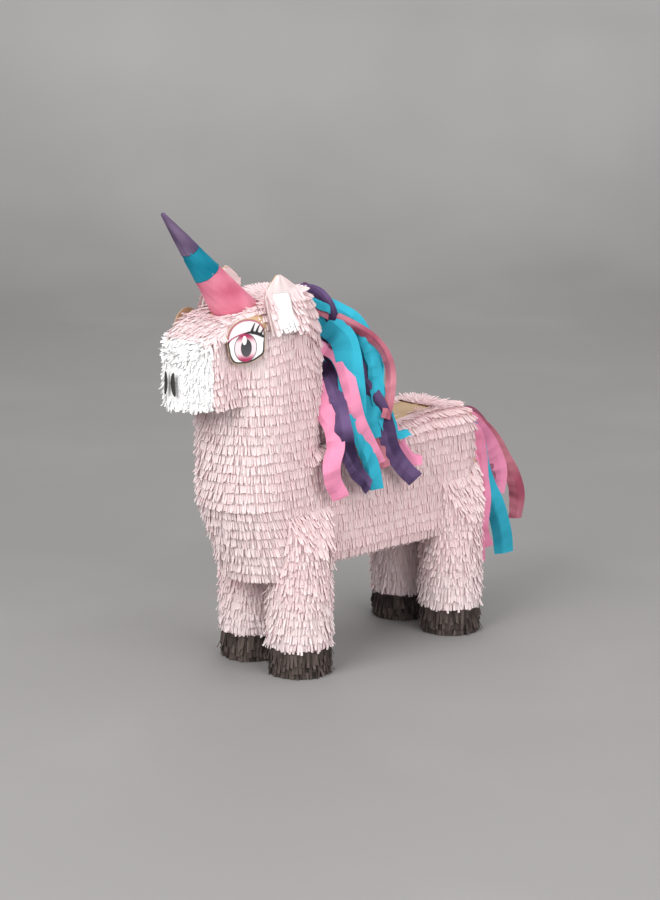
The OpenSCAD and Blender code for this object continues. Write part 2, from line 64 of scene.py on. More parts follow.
class Value:
    """A number that varies over a surface: a node's output that Python operators work on."""

    def __init__(self, tree: "Finishing", socket: Socket) -> None:
        """Keeps the node tree and the socket."""
        self.tree = tree
        self.socket = socket

    def _math(self, operation: str, first: object, second: object) -> "Value":
        """Adds one Math node.

        Args:
            operation: The Math node's operation.
            first: Its first value, a number or a Value.
            second: Its second value.

        Returns:
            The node's result.
        """
        node = self.tree.add("ShaderNodeMath", {"operation": operation}, {0: first, 1: second})
        return Value(self.tree, node.outputs[0])

    def __add__(self, other: object) -> "Value":
        """self + other."""
        return self._math("ADD", self, other)

    __radd__ = __add__

    def __sub__(self, other: object) -> "Value":
        """self - other."""
        return self._math("SUBTRACT", self, other)

    def __rsub__(self, other: object) -> "Value":
        """other - self."""
        return self._math("SUBTRACT", other, self)

    def __mul__(self, other: object) -> "Value":
        """self * other."""
        return self._math("MULTIPLY", self, other)

    __rmul__ = __mul__

    def clamped(self) -> "Value":
        """The value held between 0 and 1."""
        return self._math("MINIMUM", self._math("MAXIMUM", self, 0.0), 1.0)


class Finishing:
    """One material while its nodes are being laid out."""

    def __init__(self, name: str) -> None:
        """Starts an empty node material of that name.

        Args:
            name: The material's name.
        """
        self.material = bpy.data.materials.new(name)
        self.material.use_nodes = True
        self.nodes = self.material.node_tree.nodes
        self.links = self.material.node_tree.links
        self.nodes.clear()

    def add(self, kind: str, settings: Optional[dict] = None,
            sockets: Optional[dict] = None) -> bpy.types.Node:
        """Adds any node.

        Args:
            kind: The node's type.
            settings: Its properties, set first; "stops" gives a colour ramp's (place, colour) pairs.
            sockets: Values, Values-to-link or sockets-to-link by input name or number.

        Returns:
            The node.
        """
        node = self.nodes.new(kind)
        for key, value in (settings or {}).items():
            if key == "stops":
                self._set_stops(node, value)
            else:
                setattr(node, key, value)
        for key, value in (sockets or {}).items():
            if isinstance(value, Value):
                self.links.new(value.socket, node.inputs[key])
            elif isinstance(value, Socket):
                self.links.new(value, node.inputs[key])
            else:
                node.inputs[key].default_value = value
        return node

    @staticmethod
    def _set_stops(node: bpy.types.Node, stops: Sequence[tuple]) -> None:
        """Gives a colour ramp its stops.

        Args:
            node: The ramp.
            stops: Its places and colours.
        """
        elements = node.color_ramp.elements
        while len(elements) < len(stops):
            elements.new(0.5)
        for element, (place, colour) in zip(elements, stops):
            element.position = place
            element.color = (*colour, 1.0)

    def noise(self, size: float, detail: float = 3.0, stretch: tuple = (1.0, 1.0, 1.0)) -> Value:
        """A noise value from 0 to 1.

        Args:
            size: The size of its features in metres.
            detail: Octaves of detail.
            stretch: How the surface's own coordinates are scaled first.

        Returns:
            The noise.
        """
        place = self.add("ShaderNodeTexCoord").outputs["Object"]
        place = self.add("ShaderNodeMapping", {}, {"Vector": place, "Scale": stretch}).outputs["Vector"]
        node = self.add("ShaderNodeTexNoise", {}, {"Vector": place, "Scale": 1.0 / size,
            "Detail": detail})
        return Value(self, node.outputs[0])

    def attribute(self, name: str) -> Value:
        """A number stored on the mesh."""
        node = self.add("ShaderNodeAttribute", {"attribute_name": name})
        return Value(self, node.outputs["Fac"])

    def mixed(self, share: object, low: Sequence[float], high: Sequence[float]) -> Socket:
        """A colour between low and high.

        Args:
            share: How much of high, a Value or a number.
            low: A colour or a colour socket.
            high: A colour or a colour socket.

        Returns:
            The mixed colour's socket.
        """
        low = low if isinstance(low, Socket) else (*low, 1.0)
        high = high if isinstance(high, Socket) else (*high, 1.0)
        node = self.add("ShaderNodeMix", {"data_type": "RGBA"}, {0: share, 6: low, 7: high})
        return node.outputs[2]

    def bumped(self, height: Value, strength: float, depth: float) -> Socket:
        """The surface's normal, bumped by a height."""
        return self.add(
            "ShaderNodeBump", {}, {"Strength": strength, "Distance": depth, "Height": height}
        ).outputs["Normal"]

    def paper(self, sockets: dict) -> Socket:
        """A paper surface with the given socket values."""
        return self.add("ShaderNodeBsdfPrincipled", {}, sockets).outputs[0]

    def finish(self, shader: Socket) -> bpy.types.Material:
        """Joins a shader to the output and hands the material over."""
        self.add("ShaderNodeOutputMaterial", {}, {"Surface": shader})
        return self.material


@dataclass(frozen=True)
class Tissue:
    """Thin dyed tissue paper that lets some light through."""

    name: str
    deep: tuple[float, float, float]
    pale: tuple[float, float, float]
    glow: tuple[float, float, float]
    see_through: float = 0.3
    crinkle: float = 0.5
    crinkle_size: float = 4 * MM

    def material(self) -> bpy.types.Material:
        """Builds the finish."""
        f = Finishing(self.name)
        blotch = f.noise(18 * MM, 2.0)
        fibre = f.noise(1.2 * MM, 3.0)
        share = (f.attribute("tone") + (blotch - 0.5) * 0.5 + (fibre - 0.5) * 0.25).clamped()
        colour = f.mixed(share, self.deep, self.pale)
        crease = f.noise(self.crinkle_size, 4.0)
        normal = f.bumped(crease + fibre * 0.3, self.crinkle, 0.9 * MM)
        paper = f.paper({"Base Color": colour, "Roughness": (0.62 + blotch * 0.3).clamped(),
            "Specular IOR Level": 0.12, "Normal": normal})
        through = f.add("ShaderNodeBsdfTranslucent", {}, {"Color": (*self.glow, 1.0)}).outputs[0]
        both = f.add("ShaderNodeMixShader", {}, {0: self.see_through, 1: paper, 2: through}).outputs[0]
        return f.finish(both)


@dataclass(frozen=True)
class Kraft:
    """Brown packing card with fine fibres and faint flutes."""

    name: str
    dark: tuple[float, float, float] = (0.40, 0.25, 0.13)
    light: tuple[float, float, float] = (0.60, 0.42, 0.26)

    def material(self) -> bpy.types.Material:
        """Builds the finish."""
        f = Finishing(self.name)
        fibre = f.noise(1.5 * MM, 4.0, (1.0, 0.15, 1.0))
        blotch = f.noise(22 * MM, 2.0)
        flutes = f.noise(6 * MM, 1.0, (1.0, 0.04, 0.04))
        share = (fibre * 0.6 + blotch * 0.5 + flutes * 0.2 - 0.1).clamped()
        return f.finish(f.paper({"Base Color": f.mixed(share, self.dark, self.light),
            "Roughness": (0.7 + fibre * 0.2).clamped(), "Specular IOR Level": 0.3,
            "Normal": f.bumped(flutes + fibre * 0.3, 0.35, 0.4 * MM)}))


@dataclass(frozen=True)
class Print:
    """Printed card: one ink with a little mottle, on smooth paper."""

    name: str
    ink: tuple[float, float, float]
    shade: tuple[float, float, float]
    gloss: float = 0.35

    def material(self) -> bpy.types.Material:
        """Builds the finish."""
        f = Finishing(self.name)
        grain = f.noise(2.5 * MM, 3.0)
        share = (f.attribute("tone") + (grain - 0.5) * 0.12).clamped()
        return f.finish(f.paper({
            "Base Color": f.mixed(share, self.shade, self.ink),
            "Roughness": (self.gloss + grain * 0.12).clamped(),
            "Normal": f.bumped(grain, 0.08, 0.2 * MM),
        }))


class Shade(Enum):
    """The finishes on this pinata."""

    BLUSH = Tissue(
        "blush_tissue", (0.94, 0.70, 0.715), (0.985, 0.915, 0.915), (0.97, 0.77, 0.785), 0.34, 0.25)
    # The sheet under the pink fringe: a deeper pink than the fringe, painted shade for the gaps between the
    # rows.
    BLUSH_UNDER = Tissue(
        "blush_under_paper_shaded", (0.88, 0.60, 0.63), (0.92, 0.68, 0.70), (0.9, 0.55, 0.6), 0.1)
    SNOW = Tissue("white_tissue", (0.80, 0.78, 0.77), (0.91, 0.90, 0.89), (0.9, 0.88, 0.87), 0.2, 0.35)
    COAL = Tissue(
        "charcoal_tissue", (0.030, 0.024, 0.022), (0.135, 0.104, 0.093), (0.05, 0.04, 0.035), 0.05)
    ROSE = Tissue(
        "rose_tissue", (0.36, 0.05, 0.11), (0.76, 0.22, 0.32), (0.78, 0.18, 0.28), 0.28, 0.55, 9 * MM)
    MAUVE = Tissue(
        "mauve_tissue", (0.22, 0.05, 0.11), (0.50, 0.19, 0.28), (0.5, 0.16, 0.26), 0.25, 0.55, 9 * MM)
    CANDY = Tissue(
        "candy_tissue", (0.42, 0.10, 0.16), (0.74, 0.30, 0.37), (0.74, 0.28, 0.36), 0.3, 0.5, 9 * MM)
    TEAL = Tissue(
        "teal_tissue", (0.0, 0.022, 0.06), (0.008, 0.165, 0.255), (0.01, 0.15, 0.23), 0.24, 0.55, 9 * MM)
    PLUM = Tissue(
        "plum_tissue", (0.035, 0.02, 0.06), (0.20, 0.125, 0.28), (0.18, 0.1, 0.25), 0.22, 0.55, 9 * MM)
    HORN_ROSE = Tissue(
        "horn_rose_tissue", (0.55, 0.10, 0.18), (0.89, 0.33, 0.44), (0.8, 0.25, 0.35), 0.1, 0.6, 12 * MM)
    HORN_TEAL = Tissue(
        "horn_teal_tissue", (0.0, 0.15, 0.23), (0.02, 0.30, 0.42), (0.01, 0.28, 0.4), 0.1, 0.6, 12 * MM)
    HORN_PLUM = Tissue(
        "horn_plum_tissue", (0.07, 0.045, 0.10), (0.23, 0.16, 0.27), (0.2, 0.12, 0.25), 0.1, 0.6, 12 * MM)
    KRAFT = Kraft("kraft_card")
    SOLE = Kraft("sole_card", (0.035, 0.03, 0.028), (0.09, 0.08, 0.075))
    PRINT_WHITE = Print("print_white", (0.93, 0.92, 0.92), (0.84, 0.82, 0.83))
    PRINT_BLACK = Print("print_black", (0.03, 0.028, 0.032), (0.012, 0.012, 0.014))
    PRINT_GREY = Print("print_grey", (0.11, 0.10, 0.12), (0.035, 0.035, 0.04))
    PRINT_MAGENTA = Print("print_magenta", (0.94, 0.74, 0.78), (0.42, 0.02, 0.10))
    PRINT_LID = Print("print_lid", (0.95, 0.90, 0.91), (0.90, 0.74, 0.78))
    PAINT_BLACK = Print("nostril_black", (0.045, 0.04, 0.04), (0.015, 0.014, 0.014), 0.5)

    def material(self) -> bpy.types.Material:
        """The finish's material, built the first time it is wanted."""
        found = bpy.data.materials.get(self.value.name)
        return found if found is not None else self.value.material()


# ---- meshes ----


def unit(vectors: Array) -> Array:
    """Vectors brought to length 1."""
    return vectors / np.maximum(np.linalg.norm(vectors, axis=-1, keepdims=True), 1e-12)


def side_name(side: int) -> str:
    """Left for +1, right for -1."""
    return "left" if side > 0 else "right"


def smooth(share: Union[Array, float]) -> Union[Array, float]:
    """An S-shaped step from 0 to 1."""
    share = np.clip(share, 0.0, 1.0)
    return share * share * (3.0 - 2.0 * share)


@dataclass
class Sheaf:
    """Vertices, four-sided faces and tones gathered for one mesh."""

    points: list[Array] = field(default_factory=list)
    quads: list[Array] = field(default_factory=list)
    tones: list[Array] = field(default_factory=list)
    count: int = 0

    def gather(self, points: Array, quads: Array, tones: Union[Array, float]) -> None:
        """Adds a batch of faces.

        Args:
            points: Vertices, n by 3.
            quads: Faces as rows of four indices into points.
            tones: A tone for each vertex, or one for all.
        """
        self.points.append(points)
        self.quads.append(quads + self.count)
        self.tones.append(np.broadcast_to(np.asarray(tones, float), (len(points),)))
        self.count += len(points)

    def build(self, name: str, shade: Shade, slot: str, replaced: Sequence[str] = (),
            rounded: bool = False, body: str = "shell") -> Piece:
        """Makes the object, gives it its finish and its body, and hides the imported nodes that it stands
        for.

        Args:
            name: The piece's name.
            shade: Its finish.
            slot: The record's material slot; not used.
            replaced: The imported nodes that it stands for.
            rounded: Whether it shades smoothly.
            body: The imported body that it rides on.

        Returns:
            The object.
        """
        points = np.concatenate(self.points)
        quads = np.concatenate(self.quads)
        mesh = bpy.data.meshes.new(name)
        mesh.vertices.add(len(points))
        mesh.vertices.foreach_set("co", points.astype(np.float32).ravel())
        mesh.loops.add(quads.size)
        mesh.loops.foreach_set("vertex_index", quads.astype(np.int32).ravel())
        mesh.polygons.add(len(quads))
        mesh.polygons.foreach_set("loop_start", np.arange(0, quads.size, 4, dtype=np.int32))
        tone = mesh.attributes.new("tone", "FLOAT", "POINT")
        tone.data.foreach_set("value", np.concatenate(self.tones).astype(np.float32))
        mesh.update(calc_edges=True)
        mesh.validate()
        mesh.polygons.foreach_set("use_smooth", np.full(len(mesh.polygons), rounded))
        mesh.materials.append(shade.material())
        made = bpy.data.objects.new(name, mesh)
        bpy.context.scene.collection.objects.link(made)
        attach(made, body)
        if replaced:
            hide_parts(*replaced)
        log.info("%s: %d faces, %s, rides on %s", name, len(mesh.polygons), shade.name.lower(), body)
        return made


def grid_quads(rows: int, columns: int, wrapped: bool = False) -> Array:
    """Faces of a grid of vertices counted row by row.

    Args:
        rows: Rows of vertices.
        columns: Vertices in each row.
        wrapped: Whether the last column joins the first.

    Returns:
        The faces, as rows of four indices.
    """
    across = np.arange(columns if wrapped else columns - 1)
    down = np.arange(rows - 1)[:, None] * columns
    here = down + across
    there = down + (across + 1) % columns
    return np.stack([here, there, there + columns, here + columns], -1).reshape(-1, 4)


def leaf(centre: Array, across: Array, facing: Array, offsets: Array, thickness: float) -> tuple[Array,
        Array]:
    """A closed thin sheet round a grid of points.

    Args:
        centre: Centre line, n by 3.
        across: Unit vector across the sheet at each centre point.
        facing: Unit normal at each centre point.
        offsets: n by m by 2: how far each vertex lies across and along the normal.
        thickness: The sheet's thickness.

    Returns:
        Its vertices and faces.
    """
    rows, columns = offsets.shape[:2]
    middle = (centre[:, None] + across[:, None] * offsets[..., 0:1] + facing[:, None] * offsets[..., 1:2])
    front = middle + facing[:, None] * thickness / 2
    back = middle - facing[:, None] * thickness / 2
    loop = np.concatenate([front, back[:, ::-1]], axis=1)
    around = 2 * columns
    quads = [grid_quads(rows, around, wrapped=True)]
    for row, turned in ((0, True), (rows - 1, False)):
        first = row * around + np.arange(columns - 1)
        second = row * around + around - 1 - np.arange(columns - 1)
        cap = np.stack([first, first + 1, second - 1, second], -1)
        quads.append(cap[:, ::-1] if not turned else cap)
    return loop.reshape(-1, 3), np.concatenate(quads)


# ---- fringe ----


@dataclass(frozen=True)
class Cut:
    """How one kind of fringe is cut and how loosely its fingers hang."""

    width: float = 2.6 * MM
    length: float = 12.6 * MM
    pitch: float = 10.8 * MM
    lift: float = 3.6
    lift_spread: float = 1.6
    curl: float = 3.0
    curl_spread: float = 5.0
    sway: float = 2.5
    twist: float = 7.0
    ragged: float = 0.05
    droop: float = 0.0
    tone: float = 0.42
    tone_spread: float = 0.07
    plies: int = 2


def fingers(sheaf: Sheaf, cut: Cut, root: Array, down: Array, out: Array, side: Array, width: Array,
            loose: Array, tone: Array, rng: Rng) -> None:
    """Grows one ply of paper fingers.

    Args:
        sheaf: Where the faces go.
        cut: The kind of fringe.
        root: Where each finger leaves its strip, n by 3.
        down: The direction each hangs in.
        out: The surface's outward normal at each.
        side: The direction along the strip at each.
        width: Each finger's width.
        loose: Each finger's looseness, 1 for the cut's own.
        tone: Each finger's tone.
        rng: The source of chance.
    """
    n = len(root)
    steps = 3
    length = cut.length * (1.0 + cut.ragged * rng.normal(0.0, 1.0, n)).clip(0.55, 1.5)
    lift = np.radians(np.abs(cut.lift + cut.lift_spread * rng.normal(0.0, 1.0, n))) * loose
    curl = np.radians(cut.curl + cut.curl_spread * rng.normal(0.0, 1.0, n)) * loose
    sway = np.radians(cut.sway) * rng.normal(0.0, 1.0, n) * loose
    turn = np.radians(cut.twist) * rng.normal(0.0, 1.0, n) * loose
    bow = rng.normal(0.0, 0.35 * MM, n) + 0.25 * MM
    header = root - down * 3.5 * MM - out * 0.5 * MM
    rings = [(header, side, out, width * 1.03, np.zeros(n))]
    place = root.copy()
    rings.append((place.copy(), side, out, width * 1.03, np.zeros(n)))
    for step in range(1, steps + 1):
        share = step / steps
        rise = lift + curl * share
        heading = unit(down * np.cos(rise)[:, None] + out * np.sin(rise)[:, None]
            + side * (np.tan(sway) * share)[:, None] + np.array([0.0, 0.0, -1.0]) * cut.droop * share)
        place = place + heading * (length / steps)[:, None]
        front = unit(np.cross(side, heading))
        front *= np.sign(np.sum(front * out, -1, keepdims=True) + 1e-9)
        angle = (turn * share)[:, None]
        across = unit(side * np.cos(angle) + front * np.sin(angle))
        face = unit(np.cross(across, heading))
        face *= np.sign(np.sum(face * front, -1, keepdims=True) + 1e-9)
        narrow = width * (0.95 - 0.04 * share)
        rings.append((place.copy(), across, face, narrow, bow * (1.0 if step > 1 else 0.5)))
    skew = rng.normal(0.0, 0.14, n) * width
    verts = []
    shade = []
    thick = 0.12 * MM
    for i, (centre, across, face, wide, arch) in enumerate(rings):
        half = across * (wide / 2)[:, None]
        tilt = down * (skew if i == len(rings) - 1 else np.zeros(n))[:, None]
        verts.append(np.stack([centre - half + tilt, centre + face * (arch + thick)[:, None], centre
            + half - tilt, centre + face * (arch - thick)[:, None]], 1))
        # Painted shade: each finger's tone is deeper at its root, under the row above, and paler towards
        # its tip.
        along = max(i - 1, 0) / steps
        shade.append(np.repeat((tone - 0.12 + 0.24 * along)[:, None], 4, 1))
    points = np.stack(verts, 1)
    points[..., 2] = np.maximum(points[..., 2], 0.6 * MM)
    ring_count = len(rings)
    corner = np.arange(4)
    faces = [np.stack([r * 4 + corner, r * 4 + (corner + 1) % 4, (r + 1) * 4 + (corner + 1) % 4,
        (r + 1) * 4 + corner], -1) for r in range(ring_count - 1)]
    faces.append(np.array([[3, 2, 1, 0]]))
    faces.append((ring_count - 1) * 4 + np.array([[0, 1, 2, 3]]))
    one = np.concatenate(faces)
    quads = (one[None] + (np.arange(n) * ring_count * 4)[:, None, None]).reshape(-1, 4)
    sheaf.gather(points.reshape(-1, 3), quads, np.stack(shade, 1).reshape(-1))


class Skin:
    """A surface that rows of fringe are glued to. Rows follow u, and s runs down the surface."""

    sign: float = 1.0

    def point(self, u: Array, s: Array) -> Array:
        """The surface's point at u (0 to 1 along a row) and s (metres down from the first row)."""
        raise NotImplementedError

    def frames(self, u: Array, s: Array) -> tuple[Array, Array, Array, Array]:
        """Points, and the directions along the row, down the surface and out of it.

        Args:
            u: Places along the row.
            s: How far down each lies.

        Returns:
            The points and the three unit directions at each.
        """
        here = self.point(u, s)
        side = unit(self.point(u + 4e-4, s) - self.point(u - 4e-4, s))
        down = unit(self.point(u, s + 0.4 * MM) - self.point(u, s - 0.4 * MM))
        out = unit(np.cross(side, down)) * self.sign
        return here, side, down, out

    def row(self, sheaf: Sheaf, cut: Cut, s: float, keep: Callable[[Array, Array], Array],
            rng: Rng, loose: Optional[Callable[[Array, Array], Array]] = None,
            tone: Optional[Callable[[Array, Array], Array]] = None) -> None:
        """Glues one row of fringe.

        Args:
            sheaf: Where its faces go.
            cut: The kind of fringe.
            s: How far down the surface the row lies.
            keep: Says which points and normals get a finger.
            rng: The source of chance.
            loose: How loose the fingers are at given points, 1 where it is left out.
            tone: What is added to the cut's tone at given points.
        """
        fine = np.linspace(0.0, 1.0, 700)
        path = self.point(fine, np.full(fine.shape, s))
        run = np.concatenate([[0.0], np.cumsum(np.linalg.norm(np.diff(path, axis=0), axis=1))])
        count = int(run[-1] / cut.width)
        if count < 4:
            return
        for ply in range(cut.plies):
            slots = (np.arange(count) + rng.uniform(0.2, 0.8)) / count * run[-1]
            slots = slots + rng.normal(0.0, 0.08, count) * cut.width
            u = np.interp(slots, run, fine)
            down_by = s + rng.normal(0.0, 0.35 * MM, count) + 1.2 * MM * np.sin(u * 31.0
                + s * 700.0) * 0.5
            here, side, down, out = self.frames(u, down_by)
            held = keep(here, out)
            if not held.any():
                continue
            here, side, down, out = here[held], side[held], down[held], out[held]
            root = here - out * (1.9 - 0.5 * ply) * MM
            wide = run[-1] / count * rng.uniform(0.86, 1.06, len(here))
            slack = np.ones(len(here)) if loose is None else loose(here, out)
            slack = slack * (1.0 + 0.2 * ply)
            tint = cut.tone + rng.normal(0.0, cut.tone_spread, len(here))
            if tone is not None:
                tint = tint + tone(here, out)
            fingers(sheaf, cut, root, down, out, side, wide, slack, tint, rng)

    def under_paper(self, sheaf: Sheaf, start: float, end: float, keep: Callable[[Array, Array], Array],
                    columns: int = 150, rows: int = 40, depth: float = 2.7 * MM) -> None:
        """Lays the plain sheet of tissue that the fringe is glued over.

        Args:
            sheaf: Where its faces go.
            start: Where it starts down the surface.
            end: Where it ends.
            keep: Says which points and normals it covers.
            columns: Vertices along a row.
            rows: Rows of vertices.
            depth: How far it lies under the skin's surface.
        """
        u, s = np.meshgrid(np.linspace(0.0, 1.0, columns), np.linspace(start, end, rows))
        here, _, _, out = self.frames(u.ravel(), s.ravel())
        quads = grid_quads(rows, columns)
        front = here - out * depth
        back = front - out * 0.2 * MM
        held = keep(here, out)[quads].all(1)
        quads = quads[held]
        n = len(here)
        edges = np.concatenate([quads[:, [0, 1]], quads[:, [1, 2]], quads[:, [2, 3]], quads[:, [3, 0]]])
        keys, first, times = np.unique(np.sort(edges, 1), axis=0, return_index=True, return_counts=True)
        rim = edges[first[times == 1]]
        walls = np.stack([rim[:, 0], rim[:, 1], rim[:, 1] + n, rim[:, 0] + n], -1)
        sheaf.gather(np.concatenate([front, back]), np.concatenate([quads, quads[:, ::-1] + n, walls]),
            0.5)


@dataclass
class Outline:
    """A plan outline as a fine line with outward normals, found by the share of its length."""

    points: Array
    normals: Array

    def at(self, u: Array, closed: bool) -> tuple[Array, Array]:
        """Points and normals at shares of the length.

        Args:
            u: Shares, past 0 and 1 too.
            closed: Whether the outline joins up, so that u wraps.

        Returns:
            The points and the normals, each n by 2.
        """
        run = np.concatenate([[0.0], np.cumsum(np.linalg.norm(np.diff(self.points, axis=0), axis=1))])
        run /= run[-1]
        if closed:
            u = np.mod(u, 1.0)
        place = np.stack([np.interp(u, run, self.points[:, k]) for k in (0, 1)], -1)
        normal = unit(np.stack([np.interp(u, run, self.normals[:, k]) for k in (0, 1)], -1))
        if not closed:
            step = np.linalg.norm(np.diff(self.points, axis=0), axis=1).sum()
            over = np.where(u < 0, u, np.where(u > 1, u - 1, 0.0)) * step
            first = unit(self.points[1] - self.points[0])
            last = unit(self.points[-1] - self.points[-2])
            place = place + over[:, None] * np.where((u < 0.5)[:, None], first, last)
        return place, normal


def arc(cx: float, cy: float, radius: float, start: float, end: float, steps: int = 60) -> tuple[Array,
        Array]:
    """An arc's points and outward normals; angles in degrees from +X towards +Y."""
    angle = np.radians(np.linspace(start, end, steps))
    normal = np.stack([np.cos(angle), np.sin(angle)], -1)
    return np.array([cx, cy]) + radius * normal, normal


def joined(*parts: tuple[Array, Array]) -> Outline:
    """One outline from stretches of points and normals."""
    return Outline(np.concatenate([p for p, _ in parts]), np.concatenate([n for _, n in parts]))


def roll_over(s: Array, span: float, across: Array, down: Array) -> tuple[Array, Array]:
    """Follows an elliptical shoulder.

    Args:
        s: How far down from where the shoulder starts.
        span: The s at which it ends.
        across: The shoulder's half-axis inward.
        down: Its half-axis downward.

    Returns:
        How far the point lies in from the wall, and how far below the top.
    """
    turn = np.clip(s / span, 0.0, 1.0) * np.pi / 2
    inset = across * (1.0 - np.sin(turn)) + np.maximum(-s, 0.0)
    drop = down * (1.0 - np.cos(turn))
    return inset, drop


# ---- the body's form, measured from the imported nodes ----


@dataclass
class Form:
    """Outer sizes of the fringed body, and tests for whether a point lies inside one of its blocks."""

    neck_r: float
    neck_front: float
    neck_back: float
    chest_z: float
    head_top: float
    snout_r: float
    snout_front: float
    chin_z: float
    barrel_half: float
    belly_z: float
    back_z: float
    rump_y: float
    leg_r: float
    gauge: float
    front_y: float
    hind_y: float
    tuck_z: float = 205 * MM
    tuck_angle: float = 19.7
    cope_z: float = 148 * MM
    cope_angle: float = 64.0

    @staticmethod
    def measured() -> "Form":
        """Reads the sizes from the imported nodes' boxes."""
        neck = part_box("neck_fringe")
        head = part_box("head_fringe")
        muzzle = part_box("muzzle_fringe")
        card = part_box("chin_plate")
        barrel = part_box("barrel_fringe")
        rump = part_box("rump_fringe")
        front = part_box("hoof_fringe_front_left")
        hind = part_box("hoof_fringe_hind_left")
        skin = muzzle[0].y - card[0].y
        radius = (front[1].x - front[0].x) / 2
        return Form(
            neck_r=neck[1].x,
            neck_front=neck[0].y,
            neck_back=neck[1].y,
            chest_z=neck[0].z,
            head_top=head[1].z,
            snout_r=card[1].x - skin,
            snout_front=muzzle[0].y,
            chin_z=muzzle[0].z,
            barrel_half=barrel[1].x,
            belly_z=barrel[0].z,
            back_z=barrel[1].z,
            rump_y=rump[1].y,
            leg_r=radius,
            gauge=(front[1].x + front[0].x),
            front_y=(front[0].y + front[1].y) / 2,
            hind_y=(hind[0].y + hind[1].y) / 2,
        )

    @property
    def neck_c(self) -> tuple[float, float]:
        """Y of the centres of the neck's front and back round ends."""
        return self.neck_front + self.neck_r, self.neck_back - self.neck_r

    @property
    def snout_c(self) -> float:
        """Y of the centre of the snout's round front."""
        return self.snout_front + self.snout_r

    @property
    def horn_foot(self) -> Array:
        """The middle of the horn's base."""
        return np.array([0.0, self.front_y - 57 * MM, self.head_top - 18 * MM])

    def head_crest(self, y: Array) -> Array:
        """Height of the head's top line at y, without its round edges.

        Args:
            y: Places along the animal.

        Returns:
            The heights.
        """
        low = self.neck_front
        return np.interp(
            y,
            [low - 13 * MM, low, self.front_y - 26 * MM, self.neck_back - 38.5 * MM],
            [self.head_top - 27 * MM, self.head_top - 23 * MM, self.head_top - 5 * MM, self.head_top],
        )

    def snout_crest(self, y: Array) -> Array:
        """Height of the nose's top line at y.

        Args:
            y: Places along the animal.

        Returns:
            The heights.
        """
        c, top = self.snout_c, self.head_top
        return np.interp(y, [c - 42 * MM, c - 32 * MM, c - 21 * MM, c - 7 * MM, self.neck_front,
            self.neck_front + 45 * MM], [top - 56 * MM, top - 49 * MM, top - 40 * MM, top - 31 * MM,
            top - 23 * MM, top - 11 * MM])

    def back_crest(self, y: Array) -> Array:
        """Height of the back's top line at y, without its round edges.

        Args:
            y: Places along the animal.

        Returns:
            The heights.
        """
        h = self.hind_y
        return self.back_z + np.interp(
            y,
            [self.front_y + 60 * MM, h - 120 * MM, h - 84 * MM, h - 50 * MM, h - 14 * MM],
            [-13.5 * MM, -9.5 * MM, -4.5 * MM, -0.5 * MM, 0.0],
        )

    def tuck_front(self, x: Array, z: Array) -> Array:
        """Y of the leaned front of the chest at x and z.

        Args:
            x: Places across it.
            z: Heights.

        Returns:
            The Y of each.
        """
        lean = math.radians(self.tuck_angle)
        reach = self.neck_r / math.cos(lean)
        shift = np.maximum(self.tuck_z - z, 0.0) * math.tan(lean)
        bulge = np.sqrt(np.maximum(1.0 - (x / (self.neck_r + 0.3 * MM)) ** 2, 0.0))
        return self.neck_front + shift + reach * (1.0 - bulge)

    def in_neck(self, p: Array, margin: float) -> Array:
        """Whether points lie inside the neck and head by more than margin.

        Args:
            p: Points, n by 3.
            margin: How far inside counts.

        Returns:
            Whether each is inside.
        """
        near, far = self.neck_c
        dy = p[:, 1] - np.clip(p[:, 1], near, far)
        inside = np.hypot(p[:, 0], dy) < self.neck_r - margin
        inside &= p[:, 1] > self.tuck_front(p[:, 0], p[:, 2]) + margin
        edge = np.minimum(self.neck_r - np.hypot(p[:, 0], dy), 25 * MM)
        round_top = 30 * MM * (1.0 - np.sqrt(np.maximum(1.0 - (1.0 - edge / (25 * MM)) ** 2, 0.0)))
        return inside & (p[:, 2] > self.chest_z + margin) & (
            p[:, 2] < self.head_crest(p[:, 1]) - round_top - margin)

    def in_snout(self, p: Array, margin: float) -> Array:
        """Whether points lie inside the snout by more than margin.

        Args:
            p: Points, n by 3.
            margin: How far inside counts.

        Returns:
            Whether each is inside.
        """
        dy = np.minimum(p[:, 1] - self.snout_c, 0.0)
        reach = np.hypot(p[:, 0], dy)
        inside = reach < self.snout_r - margin
        over = np.clip((reach - self.snout_r + 9 * MM) / (9 * MM), 0.0, 1.0)
        top = self.snout_crest(p[:, 1]) - 9 * MM * (1.0 - np.sqrt(1.0 - over**2)) - margin
        inside &= (p[:, 2] > self.chin_z + margin) & (p[:, 2] < top)
        return inside & (p[:, 1] < self.neck_front + 60 * MM)

    def in_barrel(self, p: Array, margin: float) -> Array:
        """Whether points lie inside the barrel by more than margin.

        Args:
            p: Points, n by 3.
            margin: How far inside counts.

        Returns:
            Whether each is inside.
        """
        inside = (np.abs(p[:, 0]) < self.barrel_half - margin) & (p[:, 1] < self.rump_y - margin)
        inside &= p[:, 1] > self.neck_c[1]
        corner = 37.5 * MM
        dx = np.maximum(np.abs(p[:, 0]) - (self.barrel_half - corner), 0.0)
        dy = np.maximum(p[:, 1] - (self.rump_y - corner), 0.0)
        inside &= np.hypot(dx, dy) < corner - margin
        return inside & (p[:, 2] > self.belly_z + margin) & (
            p[:, 2] < self.back_crest(p[:, 1]) - 3 * MM - margin)

    def in_leg(self, p: Array, margin: float) -> Array:
        """Whether points lie inside any leg by more than margin.

        Args:
            p: Points, n by 3.
            margin: How far inside counts.

        Returns:
            Whether each is inside.
        """
        found = np.zeros(len(p), bool)
        limit = self.gauge / 2 + self.leg_r - (p[:, 2] - self.cope_z) / math.tan(
            math.radians(self.cope_angle))
        for y in (self.front_y, self.hind_y):
            near = np.hypot(np.abs(p[:, 0]) - self.gauge / 2, p[:, 1] - y) < self.leg_r - margin
            found |= near & (np.abs(p[:, 0]) < limit - margin) & (p[:, 2] < 215 * MM)
        return found


